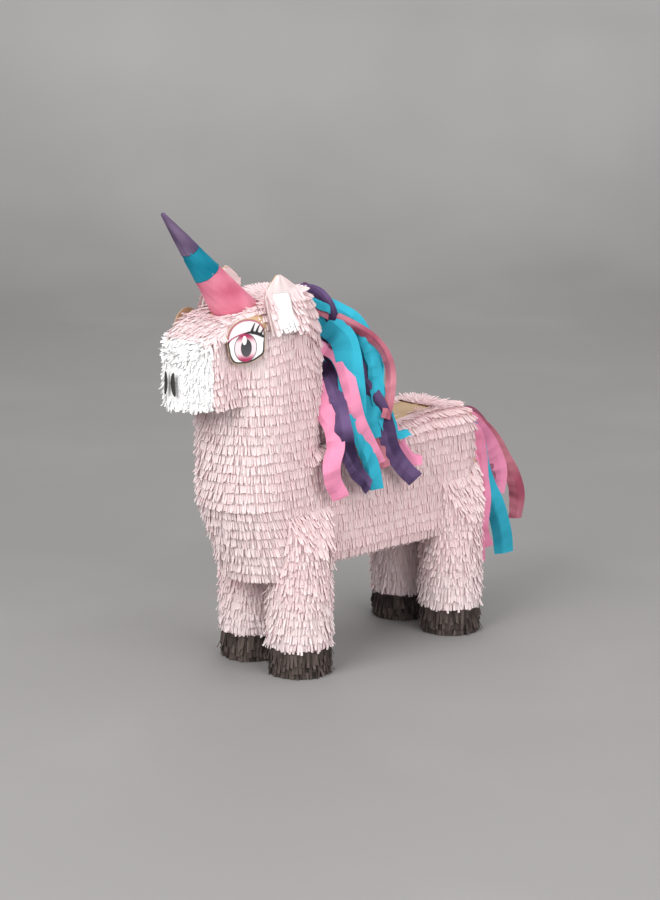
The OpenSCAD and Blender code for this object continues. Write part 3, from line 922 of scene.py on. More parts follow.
class NeckSkin(Skin):
    """The oval neck with its domed crown and the chest tucked under; rows ring it from the crown down."""

    shoulder: float = 62 * MM

    def __init__(self, form: Form) -> None:
        """Lays the oval out, starting at the nape.

        Args:
            form: The body's form.
        """
        self.form = form
        near, far = form.neck_c
        r = form.neck_r
        front = arc(0.0, near, r, 0.0, -180.0)
        back_left = arc(0.0, far, r, 90.0, 0.0, 30)
        back_right = arc(0.0, far, r, 180.0, 90.0, 30)
        self.outline = joined(back_left, front, back_right)

    def point(self, u: Array, s: Array) -> Array:
        """The surface's point at u and s.

        Args:
            u: Places along the row.
            s: How far down each lies.

        Returns:
            The points, n by 3.
        """
        form = self.form
        place, normal = self.outline.at(u, closed=True)
        rear = smooth(normal[:, 1] / 0.6)
        inset, drop = roll_over(s, self.shoulder, 25.5 * MM, (37.5 + 30.0 * rear) * MM)
        xy = place - normal * np.minimum(inset, form.neck_r - 0.2 * MM)[:, None]
        z = form.head_crest(xy[:, 1]) - drop
        level_from = self.shoulder + 46 * MM
        level_z = form.chin_z + 20 * MM
        straight = z + (level_z - z) * np.clip((s - self.shoulder) / (level_from - self.shoulder), 0.0,
            1.0)
        z = np.where(s > self.shoulder, straight, z)
        z = np.where(s > level_from, level_z - (s - level_from), z)
        low = form.chest_z + 7 * MM - z
        turn = np.clip(low / (11 * MM), 0.0, 1.0) * np.pi / 2
        tuck = np.where(low > 0, 7 * MM * (1.0 - np.cos(turn)) + np.maximum(low - 11 * MM, 0.0), 0.0)
        z = np.where(low > 0, form.chest_z + 7 * MM * (1.0 - np.sin(turn)), z)
        tucked = np.maximum(xy[:, 1], form.tuck_front(xy[:, 0], z))
        y = np.where(normal[:, 1] < 0.05, tucked, xy[:, 1])
        return np.stack([xy[:, 0] - normal[:, 0] * tuck, y - normal[:, 1] * tuck, z], -1)

    def bottom(self) -> float:
        """The s of the chest's bottom edge."""
        return self.shoulder + 46 * MM + self.form.chin_z + 20 * MM - self.form.chest_z


class CheekSkin(Skin):
    """The snout's upright sides and round front; rows follow its U-shaped plan."""

    height: float = 88 * MM

    def __init__(self, form: Form) -> None:
        """Lays the U out, from the left cheek round the front to the right.

        Args:
            form: The body's form.
        """
        self.form = form
        r, c = form.snout_r, form.snout_c
        y = np.linspace(form.neck_front + 45 * MM, c, 30)
        left = (np.stack([np.full(30, r), y], -1), np.tile([1.0, 0.0], (30, 1)))
        right = (np.stack([np.full(30, -r), y[::-1]], -1), np.tile([-1.0, 0.0], (30, 1)))
        self.outline = joined(left, arc(0.0, c, r, 0.0, -180.0), right)

    def point(self, u: Array, s: Array) -> Array:
        """The surface's point at u and s.

        Args:
            u: Places along the row.
            s: How far down each lies.

        Returns:
            The points, n by 3.
        """
        place, normal = self.outline.at(u, closed=False)
        edge = 9 * MM
        span = 13 * MM
        inset, drop = roll_over(np.maximum(s, 0.0), span, edge, edge)
        xy = place - normal * inset[:, None]
        top = self.form.snout_crest(place[:, 1]) - edge
        fall = (top - self.form.chin_z) * (s - span) / (self.height - span)
        z = np.where(s > span, top - fall, top + edge - drop)
        return np.stack([xy[:, 0], xy[:, 1], z], -1)


class CrossSkin(Skin):
    """The nose's top or its chin: rows run across, from the head forward (or back, under the chin)."""

    def __init__(self, form: Form, under: bool) -> None:
        """Chooses the top or the underside."""
        self.form = form
        self.under = under
        self.sign = -1.0

    def half(self, y: Array) -> Array:
        """Half the snout's width at y."""
        form = self.form
        ahead = np.minimum(y - form.snout_c, 0.0)
        return np.sqrt(np.maximum(form.snout_r**2 - ahead**2, (2 * MM) ** 2))

    def point(self, u: Array, s: Array) -> Array:
        """The surface's point at u and s.

        Args:
            u: Places along the row.
            s: How far down each lies.

        Returns:
            The points, n by 3.
        """
        form = self.form
        if self.under:
            y = form.snout_front + 2 * MM + s
            x = (2.0 * u - 1.0) * self.half(y) * 0.97
            return np.stack([x, y, np.full(x.shape, form.chin_z)], -1)
        y_line = np.linspace(form.neck_front + 40 * MM, form.snout_front + 1 * MM, 120)
        z_line = form.snout_crest(y_line)
        run = np.concatenate([[0.0], np.cumsum(np.hypot(np.diff(y_line), np.diff(z_line)))])
        y = np.interp(s, run, y_line)
        half = self.half(y)
        x = (2.0 * u - 1.0) * half * 0.985
        edge = 9 * MM
        over = np.clip((np.abs(x) - (half - edge)) / edge, 0.0, 1.0)
        z = form.snout_crest(y) - edge * (1.0 - np.sqrt(1.0 - over**2 * 0.98))
        return np.stack([x, y, z], -1)


class BarrelSkin(Skin):
    """The barrel from crest to belly; rows run back along one flank, round the rump and forward again."""

    shoulder: float = 40 * MM
    corner: float = 37.5 * MM
    low_round: float = 17.5 * MM

    def __init__(self, form: Form) -> None:
        """Lays the plan out, from the left shoulder round the rump to the right shoulder.

        Args:
            form: The body's form.
        """
        self.form = form
        half, back = form.barrel_half, form.rump_y
        start, turn = form.neck_c[1] + 10 * MM, back - self.corner
        y = np.linspace(start, turn, 60)
        left = (np.stack([np.full(60, half), y], -1), np.tile([1.0, 0.0], (60, 1)))
        right = (np.stack([np.full(60, -half), y[::-1]], -1), np.tile([-1.0, 0.0], (60, 1)))
        inner = half - self.corner
        self.outline = joined(left, arc(inner, turn, self.corner, 0.0, 90.0),
            arc(-inner, turn, self.corner, 90.0, 180.0), right)
        self.side_height = form.back_z - 25 * MM - (form.belly_z + self.low_round)
        self.sign = -1.0

    def point(self, u: Array, s: Array) -> Array:
        """The surface's point at u and s.

        Args:
            u: Places along the row.
            s: How far down each lies.

        Returns:
            The points, n by 3.
        """
        form = self.form
        place, normal = self.outline.at(u, closed=False)
        spine = np.stack([np.zeros(len(u)), np.minimum(place[:, 1], form.rump_y - form.barrel_half)], -1)
        reach = np.linalg.norm(place - spine, axis=1)
        rear = np.clip(normal[:, 1], 0.0, 1.0) ** 3
        saddle = form.back_z - form.back_crest(place[:, 1])
        across = (25 * MM - saddle) * (1.0 - rear) + 36 * MM * rear
        down = (25 * MM - saddle) * (1.0 - rear) + 41 * MM * rear
        inset, drop = roll_over(s, self.shoulder, across, down)
        inset = np.minimum(inset, reach - 0.3 * MM)
        floor_s = self.shoulder + self.side_height
        turn = np.clip((s - floor_s) / (27 * MM), 0.0, 1.0) * np.pi / 2
        under = np.maximum(s - floor_s - 27 * MM, 0.0)
        inset = inset + self.low_round * (1.0 - np.cos(turn)) + under
        xy = spine + (place - spine) * (1.0 - inset / reach)[:, None]
        z = form.back_crest(xy[:, 1]) - drop
        low = form.belly_z + self.low_round
        share = np.clip((s - self.shoulder) / self.side_height, 0.0, 1.0)
        z = np.where(s > self.shoulder, z + (low - z) * share, z) - self.low_round * np.sin(turn)
        return np.stack([xy[:, 0], xy[:, 1], z], -1)

    def bottom(self) -> float:
        """The s at which the side turns under to the belly."""
        return self.shoulder + self.side_height + 27 * MM


class LegSkin(Skin):
    """One rolled leg with its sloping top; rows ring it from the top down."""

    def __init__(self, form: Form, side: int, y: float) -> None:
        """Places the leg.

        Args:
            form: The body's form.
            side: +1 for left, -1 for right.
            y: Its Y.
        """
        self.form = form
        self.side = side
        self.x = side * form.gauge / 2
        self.y = y
        self.top = 205 * MM
        self.sign = -1.0

    def point(self, u: Array, s: Array) -> Array:
        """The surface's point at u and s.

        Args:
            u: Places along the row.
            s: How far down each lies.

        Returns:
            The points, n by 3.
        """
        angle = 2.0 * np.pi * u
        z = self.top - s
        x = self.x + self.form.leg_r * np.cos(angle)
        y = self.y + self.form.leg_r * np.sin(angle)
        slope = math.tan(math.radians(self.form.cope_angle))
        limit = self.form.gauge / 2 + self.form.leg_r - np.maximum(z - self.form.cope_z, 0.0) / slope
        x = self.side * np.minimum(self.side * x, limit)
        return np.stack([x, y, z], -1)


class HoofSkin(LegSkin):
    """The tissue hoof, a little narrower at the ground than at its top."""

    def point(self, u: Array, s: Array) -> Array:
        """The surface's point at u and s, with s = 0 at the hoof's top.

        Args:
            u: Places along the row.
            s: How far down each lies.

        Returns:
            The points, n by 3.
        """
        angle = 2.0 * np.pi * u
        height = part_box("hoof_fringe_front_left")[1].z
        z = height - s
        r = self.form.leg_r - 1.6 * MM + 1.6 * MM * np.clip(z / height, 0.0, 1.2)
        return np.stack([self.x + r * np.cos(angle), self.y + r * np.sin(angle), z], -1)


def everywhere(p: Array, out: Array) -> Array:
    """Keeps every point."""
    return np.ones(len(p), bool)


# ---- the sub-assemblies ----


@dataclass
class HeadAndNeck:
    """The fringed neck, crown, snout and white muzzle."""

    form: Form
    column: Cut = Cut()
    nose: Cut = Cut(width=2.8 * MM, length=12 * MM, pitch=9 * MM, lift=4, lift_spread=4, curl=2,
        curl_spread=8, sway=4)
    muzzle: Cut = Cut(width=3.0 * MM, length=8 * MM, pitch=5.6 * MM, lift=9, lift_spread=8, curl=4,
        curl_spread=14, sway=12, twist=18, ragged=0.2, tone=0.7)
    muzzle_ahead: float = 118 * MM

    def white_from(self) -> float:
        """Y in front of which the muzzle is white."""
        return self.form.front_y - self.muzzle_ahead

    def horn_clear(self, p: Array) -> Array:
        """Whether points stand clear of the horn's foot."""
        return np.linalg.norm(p - self.form.horn_foot, axis=1) > 27 * MM

    def keep_neck(self, p: Array, out: Array) -> Array:
        """Which points of the neck are outside the other blocks."""
        form = self.form
        keep = ~form.in_snout(p, 1.5 * MM) & ~form.in_barrel(p, 1.5 * MM) & ~form.in_leg(p, 1.5 * MM)
        return keep & self.horn_clear(p)

    def keep_snout(self, p: Array, out: Array) -> Array:
        """Which points of the snout are outside the neck."""
        return ~self.form.in_neck(p, 1.5 * MM) & self.horn_clear(p)

    def keep_pink(self, p: Array, out: Array) -> Array:
        """Which points of the snout are pink."""
        return self.keep_snout(p, out) & (p[:, 1] > self.white_from())

    def keep_white(self, p: Array, out: Array) -> Array:
        """Which points of the snout are white."""
        return self.keep_snout(p, out) & (p[:, 1] <= self.white_from())

    def loose(self, p: Array, out: Array) -> Array:
        """Fringe on the front hangs looser than on the sides; it lies flat behind the ears and the eyes.

        Args:
            p: Points, n by 3.
            out: The normals there.

        Returns:
            The looseness of each.
        """
        front = smooth(-out[:, 1])
        slack = (1.0 + 1.3 * front) * (1.0 - 0.45 * smooth((p[:, 2] - 395 * MM) / (25 * MM)))
        behind_ear = (np.abs(p[:, 0]) > 40 * MM) & (p[:, 2] > 388 * MM) & (
            np.abs(p[:, 1] + 154 * MM) < 28 * MM)
        behind_eye = (p[:, 2] > 364 * MM) & (p[:, 2] < 418 * MM) & (p[:, 1] < -184 * MM) & (
            p[:, 1] > -233 * MM)
        return np.where(behind_ear | (behind_eye & (np.abs(p[:, 0]) > 30 * MM)), 0.15, slack)

    def flat_by_nostrils(self, p: Array, out: Array) -> Array:
        """The white fringe lies flat behind the nostrils."""
        low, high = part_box("nostrils")
        near = (np.abs(p[:, 0]) < 15 * MM) & (p[:, 2] > low.z - 4 * MM) & (p[:, 2] < high.z + 14 * MM)
        return np.where(near, 0.2, 1.0)

    def paler(self, p: Array, out: Array) -> Array:
        """Painted light: the front, which faces the lamps, is painted paler than the sides; the crown is
        also a little paler towards its top.
        """
        return 0.36 * smooth(-out[:, 1] + 0.2) + 0.1 * smooth((p[:, 2] - 360 * MM) / (60 * MM))

    def rows(self, edge: float, under: tuple[float, ...], first: float, last: float) -> list[float]:
        """Where the rows lie, from the underside up.

        Args:
            edge: The s of the lower edge.
            under: How far past the edge the rows on the underside lie.
            first: How far above the edge the lowest hanging row lies.
            last: The s of the uppermost row.

        Returns:
            The rows' places.
        """
        hanging = np.arange(edge - first, last, -self.column.pitch)
        return [edge + step for step in under] + list(hanging)

    def build(self, rng: Rng) -> list[Piece]:
        """Builds the neck, head and muzzle pieces.

        Args:
            rng: The source of chance.

        Returns:
            The pieces.
        """
        form = self.form
        neck = NeckSkin(form)
        head_rows, neck_rows, white_rows = Sheaf(), Sheaf(), Sheaf()
        seam = neck.shoulder + 46 * MM + 20 * MM
        for s in self.rows(neck.bottom(), (26 * MM, 13 * MM), 11 * MM, -34 * MM):
            into = neck_rows if s >= seam else head_rows
            neck.row(into, self.column, s, self.keep_neck, rng, self.loose, self.paler)
        cheeks = CheekSkin(form)
        pink_part, white_part = self.keep_pink, self.keep_white
        s = cheeks.height - 9 * MM
        while s > 0:
            cheeks.row(head_rows, self.nose, s, pink_part, rng, self.loose, self.paler)
            s -= self.nose.pitch
        for k in range(int(cheeks.height / self.muzzle.pitch)):
            s = cheeks.height - (k + 1.2) * self.muzzle.pitch
            cheeks.row(white_rows, self.muzzle, s, white_part, rng, self.flat_by_nostrils)
        bridge = CrossSkin(form, under=False)
        chin = CrossSkin(form, under=True)
        for k in range(14):
            s = 110 * MM - k * 8.5 * MM
            bridge.row(head_rows, self.nose, s, pink_part, rng, None, self.paler)
            bridge.row(white_rows, self.muzzle, s, white_part, rng)
        for k in range(4):
            chin.row(white_rows, self.muzzle, (1.0 + 7.0 * k) * MM, white_part, rng)
            chin.row(head_rows, self.nose, (25 + 9 * k) * MM, pink_part, rng)
        papers = {"neck": Sheaf(), "head": Sheaf(), "muzzle": Sheaf()}
        neck.under_paper(papers["neck"], seam, neck.bottom() + 30 * MM, self.keep_neck)
        neck.under_paper(papers["head"], -34.3 * MM, seam, self.keep_neck)
        cheeks.under_paper(papers["head"], 1 * MM, cheeks.height, pink_part, 90, 20)
        cheeks.under_paper(papers["muzzle"], 1 * MM, cheeks.height, white_part, 90, 20)
        bridge.under_paper(papers["head"], 2 * MM, 120 * MM, pink_part, 16, 50)
        bridge.under_paper(papers["muzzle"], 2 * MM, 120 * MM, white_part, 16, 50)
        chin.under_paper(papers["muzzle"], 0.0, 24 * MM, white_part, 16, 10)
        chin.under_paper(papers["head"], 22 * MM, 50 * MM, pink_part, 16, 10)
        return [neck_rows.build("neck_fringe_rows", Shade.BLUSH, "pink_tissue", ["neck_fringe"]),
            head_rows.build("head_fringe_rows", Shade.BLUSH, "pink_tissue", ["head_fringe"]),
            white_rows.build("muzzle_fringe_rows", Shade.SNOW, "white_tissue", ["muzzle_fringe"]),
            papers["neck"].build("neck_under_paper", Shade.BLUSH_UNDER, "pink_tissue"),
            papers["head"].build("head_under_paper", Shade.BLUSH_UNDER, "pink_tissue"),
            papers["muzzle"].build("muzzle_under_paper", Shade.SNOW, "white_tissue")]


@dataclass
class Barrel:
    """The fringed barrel and rump, and the sparse fringe on the fill door."""

    form: Form
    cut: Cut = Cut()
    sparse: Cut = Cut(length=11 * MM, lift=10, lift_spread=8, curl=14, sway=12, ragged=0.25, plies=1)
    door_clear: float = 1.2 * MM

    def on_door(self, p: Array, margin: float) -> Array:
        """Whether points lie over the fill door.

        Args:
            p: Points, n by 3.
            margin: How far inside counts.

        Returns:
            Whether each is.
        """
        low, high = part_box("fill_door")
        inside = (p[:, 0] > low.x - margin) & (p[:, 0] < high.x + margin)
        inside &= (p[:, 1] > low.y - margin) & (p[:, 1] < high.y + margin)
        return inside & (p[:, 2] > self.form.belly_z + 70 * MM)

    def keep(self, p: Array, out: Array) -> Array:
        """Which points of the barrel are outside the other blocks and off the door.

        Args:
            p: Points, n by 3.
            out: The normals there.

        Returns:
            Whether each is kept.
        """
        form = self.form
        ridge = np.hypot(p[:, 0], np.maximum(p[:, 1] - form.rump_y + form.barrel_half, 0.0)) < 1.0 * MM
        keep = ~form.in_neck(p, 1.5 * MM) & ~form.in_leg(p, 1.5 * MM) & ~self.on_door(p, self.door_clear)
        return keep & ~ridge

    def part(self, side: int, start: float, end: float) -> Callable[[Array, Array], Array]:
        """What keeps one part of the barrel.

        Args:
            side: +1 for the left half, -1 for the right, 0 for both.
            start: Y where the part starts.
            end: Y where it ends.

        Returns:
            The test.
        """
        def test(p: Array, out: Array) -> Array:
            """Whether points are kept and in the part."""
            half = (p[:, 0] >= 0) == (side > 0) if side else True
            return self.keep(p, out) & half & (p[:, 1] >= start) & (p[:, 1] < end)

        return test

    def loose(self, p: Array, out: Array) -> Array:
        """Fringe hangs looser round the rump than along the flanks."""
        return 0.9 + 0.5 * smooth(out[:, 1])

    def build(self, rng: Rng) -> list[Piece]:
        """Builds the barrel's pieces.

        Args:
            rng: The source of chance.

        Returns:
            The pieces.
        """
        form = self.form
        skin = BarrelSkin(form)
        left, right, rump = Sheaf(), Sheaf(), Sheaf()
        hip, far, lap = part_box("rump_fringe")[0].y, 1.0, 2 * MM
        parts = ((left, self.part(1, -far, hip)), (right, self.part(-1, -far, hip)),
            (rump, self.part(0, hip, far)))
        hanging = list(np.arange(skin.bottom() - 13 * MM, -46 * MM, -self.cut.pitch))
        for s in [skin.bottom() + step * MM for step in (36, 25, 14, 3)] + hanging:
            for sheaf, keep in parts:
                skin.row(sheaf, self.cut, s, keep, rng, self.loose)
        papers = Sheaf(), Sheaf()
        skin.under_paper(papers[0], -46 * MM, skin.bottom() + 40 * MM, self.part(0, -far, hip + lap), 220,
            66)
        skin.under_paper(papers[1], -30 * MM, skin.bottom() + 40 * MM, self.part(0, hip - lap, far), 220,
            60)
        return [left.build("barrel_fringe_rows_left", Shade.BLUSH, "pink_tissue", ["barrel_fringe"]),
            right.build("barrel_fringe_rows_right", Shade.BLUSH, "pink_tissue"),
            rump.build("rump_fringe_rows", Shade.BLUSH, "pink_tissue", ["rump_fringe"]),
            papers[0].build("barrel_under_paper", Shade.BLUSH_UNDER, "pink_tissue"),
            papers[1].build("rump_under_paper", Shade.BLUSH_UNDER, "pink_tissue"),
            self.door_rows(skin, rng)]

    def door_rows(self, skin: BarrelSkin, rng: Rng) -> Piece:
        """Glues the thin, worn fringe along the door's edges, leaving its card bare in the middle.

        Args:
            skin: The barrel's surface.
            rng: The source of chance.

        Returns:
            The fringe.
        """
        low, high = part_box("fill_door")
        rows = Sheaf()

        def edges(p: Array, out: Array) -> Array:
            """Keeps most places along the door's edges."""
            inside = self.on_door(p, -1.5 * MM)
            near = (np.abs(p[:, 0]) > 21 * MM) | (p[:, 1] < low.y + 12 * MM)
            return inside & near & (p[:, 1] < high.y - 6 * MM) & (rng.uniform(size=len(p)) < 0.75)

        for s in (-24 * MM, -16 * MM, -6 * MM, 2 * MM, 10 * MM):
            skin.row(rows, self.sparse, s, edges, rng)
        return rows.build("door_fringe_rows", Shade.BLUSH, "pink_tissue", ["door_fringe"], body="door")


@dataclass
class Legs:
    """Four fringed legs on charcoal tissue hooves."""

    form: Form
    cut: Cut = Cut(width=2.9 * MM, length=12.5 * MM, pitch=9.6 * MM, lift=5.5, lift_spread=4, curl=4,
        curl_spread=11, sway=7, twist=12, ragged=0.12, tone=0.55, droop=0.08)
    hoof: Cut = Cut(width=3.8 * MM, length=12 * MM, pitch=8 * MM, lift=4, lift_spread=4, curl=0,
        curl_spread=9, sway=5, ragged=0.12, tone=0.45, tone_spread=0.3)

    def build(self, rng: Rng) -> list[Piece]:
        """Builds each leg's fringe, its under-paper and its hoof.

        Args:
            rng: The source of chance.

        Returns:
            The pieces.
        """
        form = self.form
        made = []
        for side, name in ((1, "left"), (-1, "right")):
            for y, end in ((form.front_y, "front"), (form.hind_y, "hind")):
                made += self.one(LegSkin(form, side, y), HoofSkin(form, side, y), f"{end}_{name}", rng)
        return made

    def keep(self, p: Array, out: Array) -> Array:
        """Which points of a leg are outside the body."""
        return ~self.form.in_neck(p, 1.0 * MM) & ~self.form.in_barrel(p, 1.0 * MM)

    def paler(self, p: Array, out: Array) -> Array:
        """The legs grow paler towards the hooves."""
        return 0.4 * smooth((120 * MM - p[:, 2]) / (80 * MM))

    def one(self, skin: LegSkin, hoof_skin: HoofSkin, name: str, rng: Rng) -> list[Piece]:
        """Builds one leg.

        Args:
            skin: The leg's surface.
            hoof_skin: The hoof's surface.
            name: Which leg it is.
            rng: The source of chance.

        Returns:
            Its pieces.
        """
        rows, paper, hoof, hoof_paper = Sheaf(), Sheaf(), Sheaf(), Sheaf()
        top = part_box("hoof_fringe_front_left")[1].z
        s = skin.top - top - 15 * MM
        while s > 0:
            skin.row(rows, self.cut, s, self.keep, rng, None, self.paler)
            s -= self.cut.pitch
        skin.under_paper(paper, 2 * MM, skin.top - top, self.keep, 60, 40)
        for s in (18 * MM, 10 * MM, 2 * MM):
            hoof_skin.row(hoof, self.hoof, s, everywhere, rng)
        hoof_skin.under_paper(hoof_paper, 0.0, top - 0.9 * MM, everywhere, 60, 8, 1.5 * MM)
        return [rows.build(f"leg_fringe_rows_{name}", Shade.BLUSH, "pink_tissue", [f"leg_fringe_{name}"]),
            paper.build(f"leg_under_paper_{name}", Shade.BLUSH_UNDER, "pink_tissue"),
            hoof.build(f"hoof_fringe_rows_{name}", Shade.COAL, "black_tissue", [f"hoof_fringe_{name}"]),
            hoof_paper.build(f"hoof_under_paper_{name}", Shade.COAL, "black_tissue")]


@dataclass
class Horn:
    """A card cone wrapped in three bands of tissue that overlap a little, with a twisted tip."""

    form: Form
    length: float = 147 * MM
    base_r: float = 23.7 * MM
    tip_r: float = 1.6 * MM
    lean: float = 40.6
    joints: tuple[float, float] = (0.39, 0.63)
    foot: float = -0.12

    def axes(self) -> tuple[Array, Array, Array, Array]:
        """The base's centre, the horn's direction and two directions across it."""
        lean = math.radians(self.lean)
        up = np.array([0.0, -math.sin(lean), math.cos(lean)])
        return self.form.horn_foot, up, np.array([1.0, 0.0, 0.0]), np.array(
            [0.0, math.cos(lean), math.sin(lean)])

    def radius(self, share: Array) -> Array:
        """The wrapped cone's radius at a share of its length."""
        return self.base_r + (self.tip_r - self.base_r) * share

    def around(self, along: Array, radius: Array, angle: Array) -> Array:
        """Points round the horn.

        Args:
            along: How far up the horn each lies.
            radius: How far from its middle.
            angle: Its angle round it.

        Returns:
            The points.
        """
        centre, up, right, fore = self.axes()
        across = np.cos(angle)[..., None] * right + np.sin(angle)[..., None] * fore
        return centre + along[..., None] * up + radius[..., None] * across

    def band(self, name: str, shade: Shade, slot: str, start: float, end: float, lift: float,
            phase: float, replaced: Sequence[str]) -> Piece:
        """Wraps one band.

        Args:
            name: The piece's name.
            shade: Its finish.
            slot: The record's material slot.
            start: Where it starts, as a share of the horn's length.
            end: Where it ends.
            lift: How far it stands off the cone.
            phase: Shifts its creases.
            replaced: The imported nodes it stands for.

        Returns:
            The band.
        """
        rows, around = 46, 120
        t = np.linspace(start, end, rows)[:, None]
        a = np.linspace(0.0, 2.0 * np.pi, around, endpoint=False)[None]
        seam = np.radians(200.0 + 40.0 * phase)
        off = np.mod(a - seam - 0.5 * (t - start), 2.0 * np.pi)
        fold = 0.5 * MM * np.exp(-((off / 0.10) ** 2)) + 0.45 * MM * np.clip(1.0 - off / 1.1, 0.0, 1.0)
        creases = (
            0.28 * MM * np.sin(3.0 * a + 16.0 * t + 2.1 * phase) * np.sin(9.0 * t + a)
            + 0.22 * MM * np.sin(7.0 * a - 21.0 * t + phase)
            + 0.14 * MM * np.sin(13.0 * a + 37.0 * t + 3.0 * phase)
        )
        edge = 1.0 + 0.012 * np.sin(5.0 * a + phase) * (t - start)
        r = self.radius(t * edge) + lift + fold + creases * np.clip(self.radius(t) / self.base_r + 0.25,
            0.0, 1.0)
        slant = 0.008 * np.sin(a + 1.0 + phase) * np.exp(-(t - start) * 20.0)
        along = (t + slant) * self.length
        outer = self.around(along, r, a)
        inner = self.around(along, np.maximum(r - 0.35 * MM, 0.1 * MM), a)
        points = np.concatenate([outer.reshape(-1, 3), inner.reshape(-1, 3)])
        quads = grid_quads(rows, around, wrapped=True)
        n = rows * around
        first = np.arange(around)
        after = (first + 1) % around
        low = np.stack([first, first + n, after + n, after], -1)
        last = (rows - 1) * around
        high = np.stack([first + last, after + last, after + last + n, first + last + n], -1)
        sheaf = Sheaf()
        tone = 0.5 + 0.35 * np.sin(2.0 * a + 7.0 * t + phase) * np.cos(15.0 * t)
        tones = np.concatenate([np.broadcast_to(tone, (rows, around)).ravel()] * 2)
        sheaf.gather(points, np.concatenate([quads, quads[:, ::-1] + n, low, high]), tones)
        return sheaf.build(name, shade, slot, replaced, rounded=True)

    def tip(self) -> Piece:
        """Twists the last of the plum tissue over the point."""
        rows, around = 10, 24
        t = np.linspace(0.0, 1.0, rows)[:, None]
        a = np.linspace(0.0, 2.0 * np.pi, around, endpoint=False)[None]
        r = (2.3 * MM * np.sqrt(np.maximum(1.0 - t**2, 0.0)) + 0.15 * MM) * (1.0
            + 0.16 * np.sin(5.0 * a + 6.0 * t))
        along = self.length * 0.985 + t * 3.6 * MM
        points = self.around(along, r, a)
        quads = grid_quads(rows, around, wrapped=True)
        half = around // 2
        caps = []
        for row in (0, rows - 1):
            start = row * around
            ring = np.arange(half - 1)
            caps.append(np.stack([start + ring, start + ring + 1, start + around - 2 - ring, start
                + around - 1 - ring], -1))
        sheaf = Sheaf()
        sheaf.gather(points.reshape(-1, 3), np.concatenate([quads, caps[0], caps[1][:, ::-1]]), 0.35)
        return sheaf.build("horn_tip_twist", Shade.HORN_PLUM, "purple_tissue", rounded=True)

    def build(self) -> list[Piece]:
        """Wraps the horn from its foot to its tip."""
        low, high = self.joints
        return [self.band("horn_band_rose", Shade.HORN_ROSE, "rose_tissue", self.foot, low + 0.02, 0.0,
            0.0, ["horn_wrap_pink"]), self.band("horn_band_teal", Shade.HORN_TEAL, "teal_tissue", low,
            high + 0.02, 0.35 * MM, 1.3, ["horn_wrap_teal"]),
            self.band("horn_band_plum", Shade.HORN_PLUM, "purple_tissue", high, 1.0, 0.7 * MM, 2.6,
            ["horn_wrap_purple"]), self.tip()]


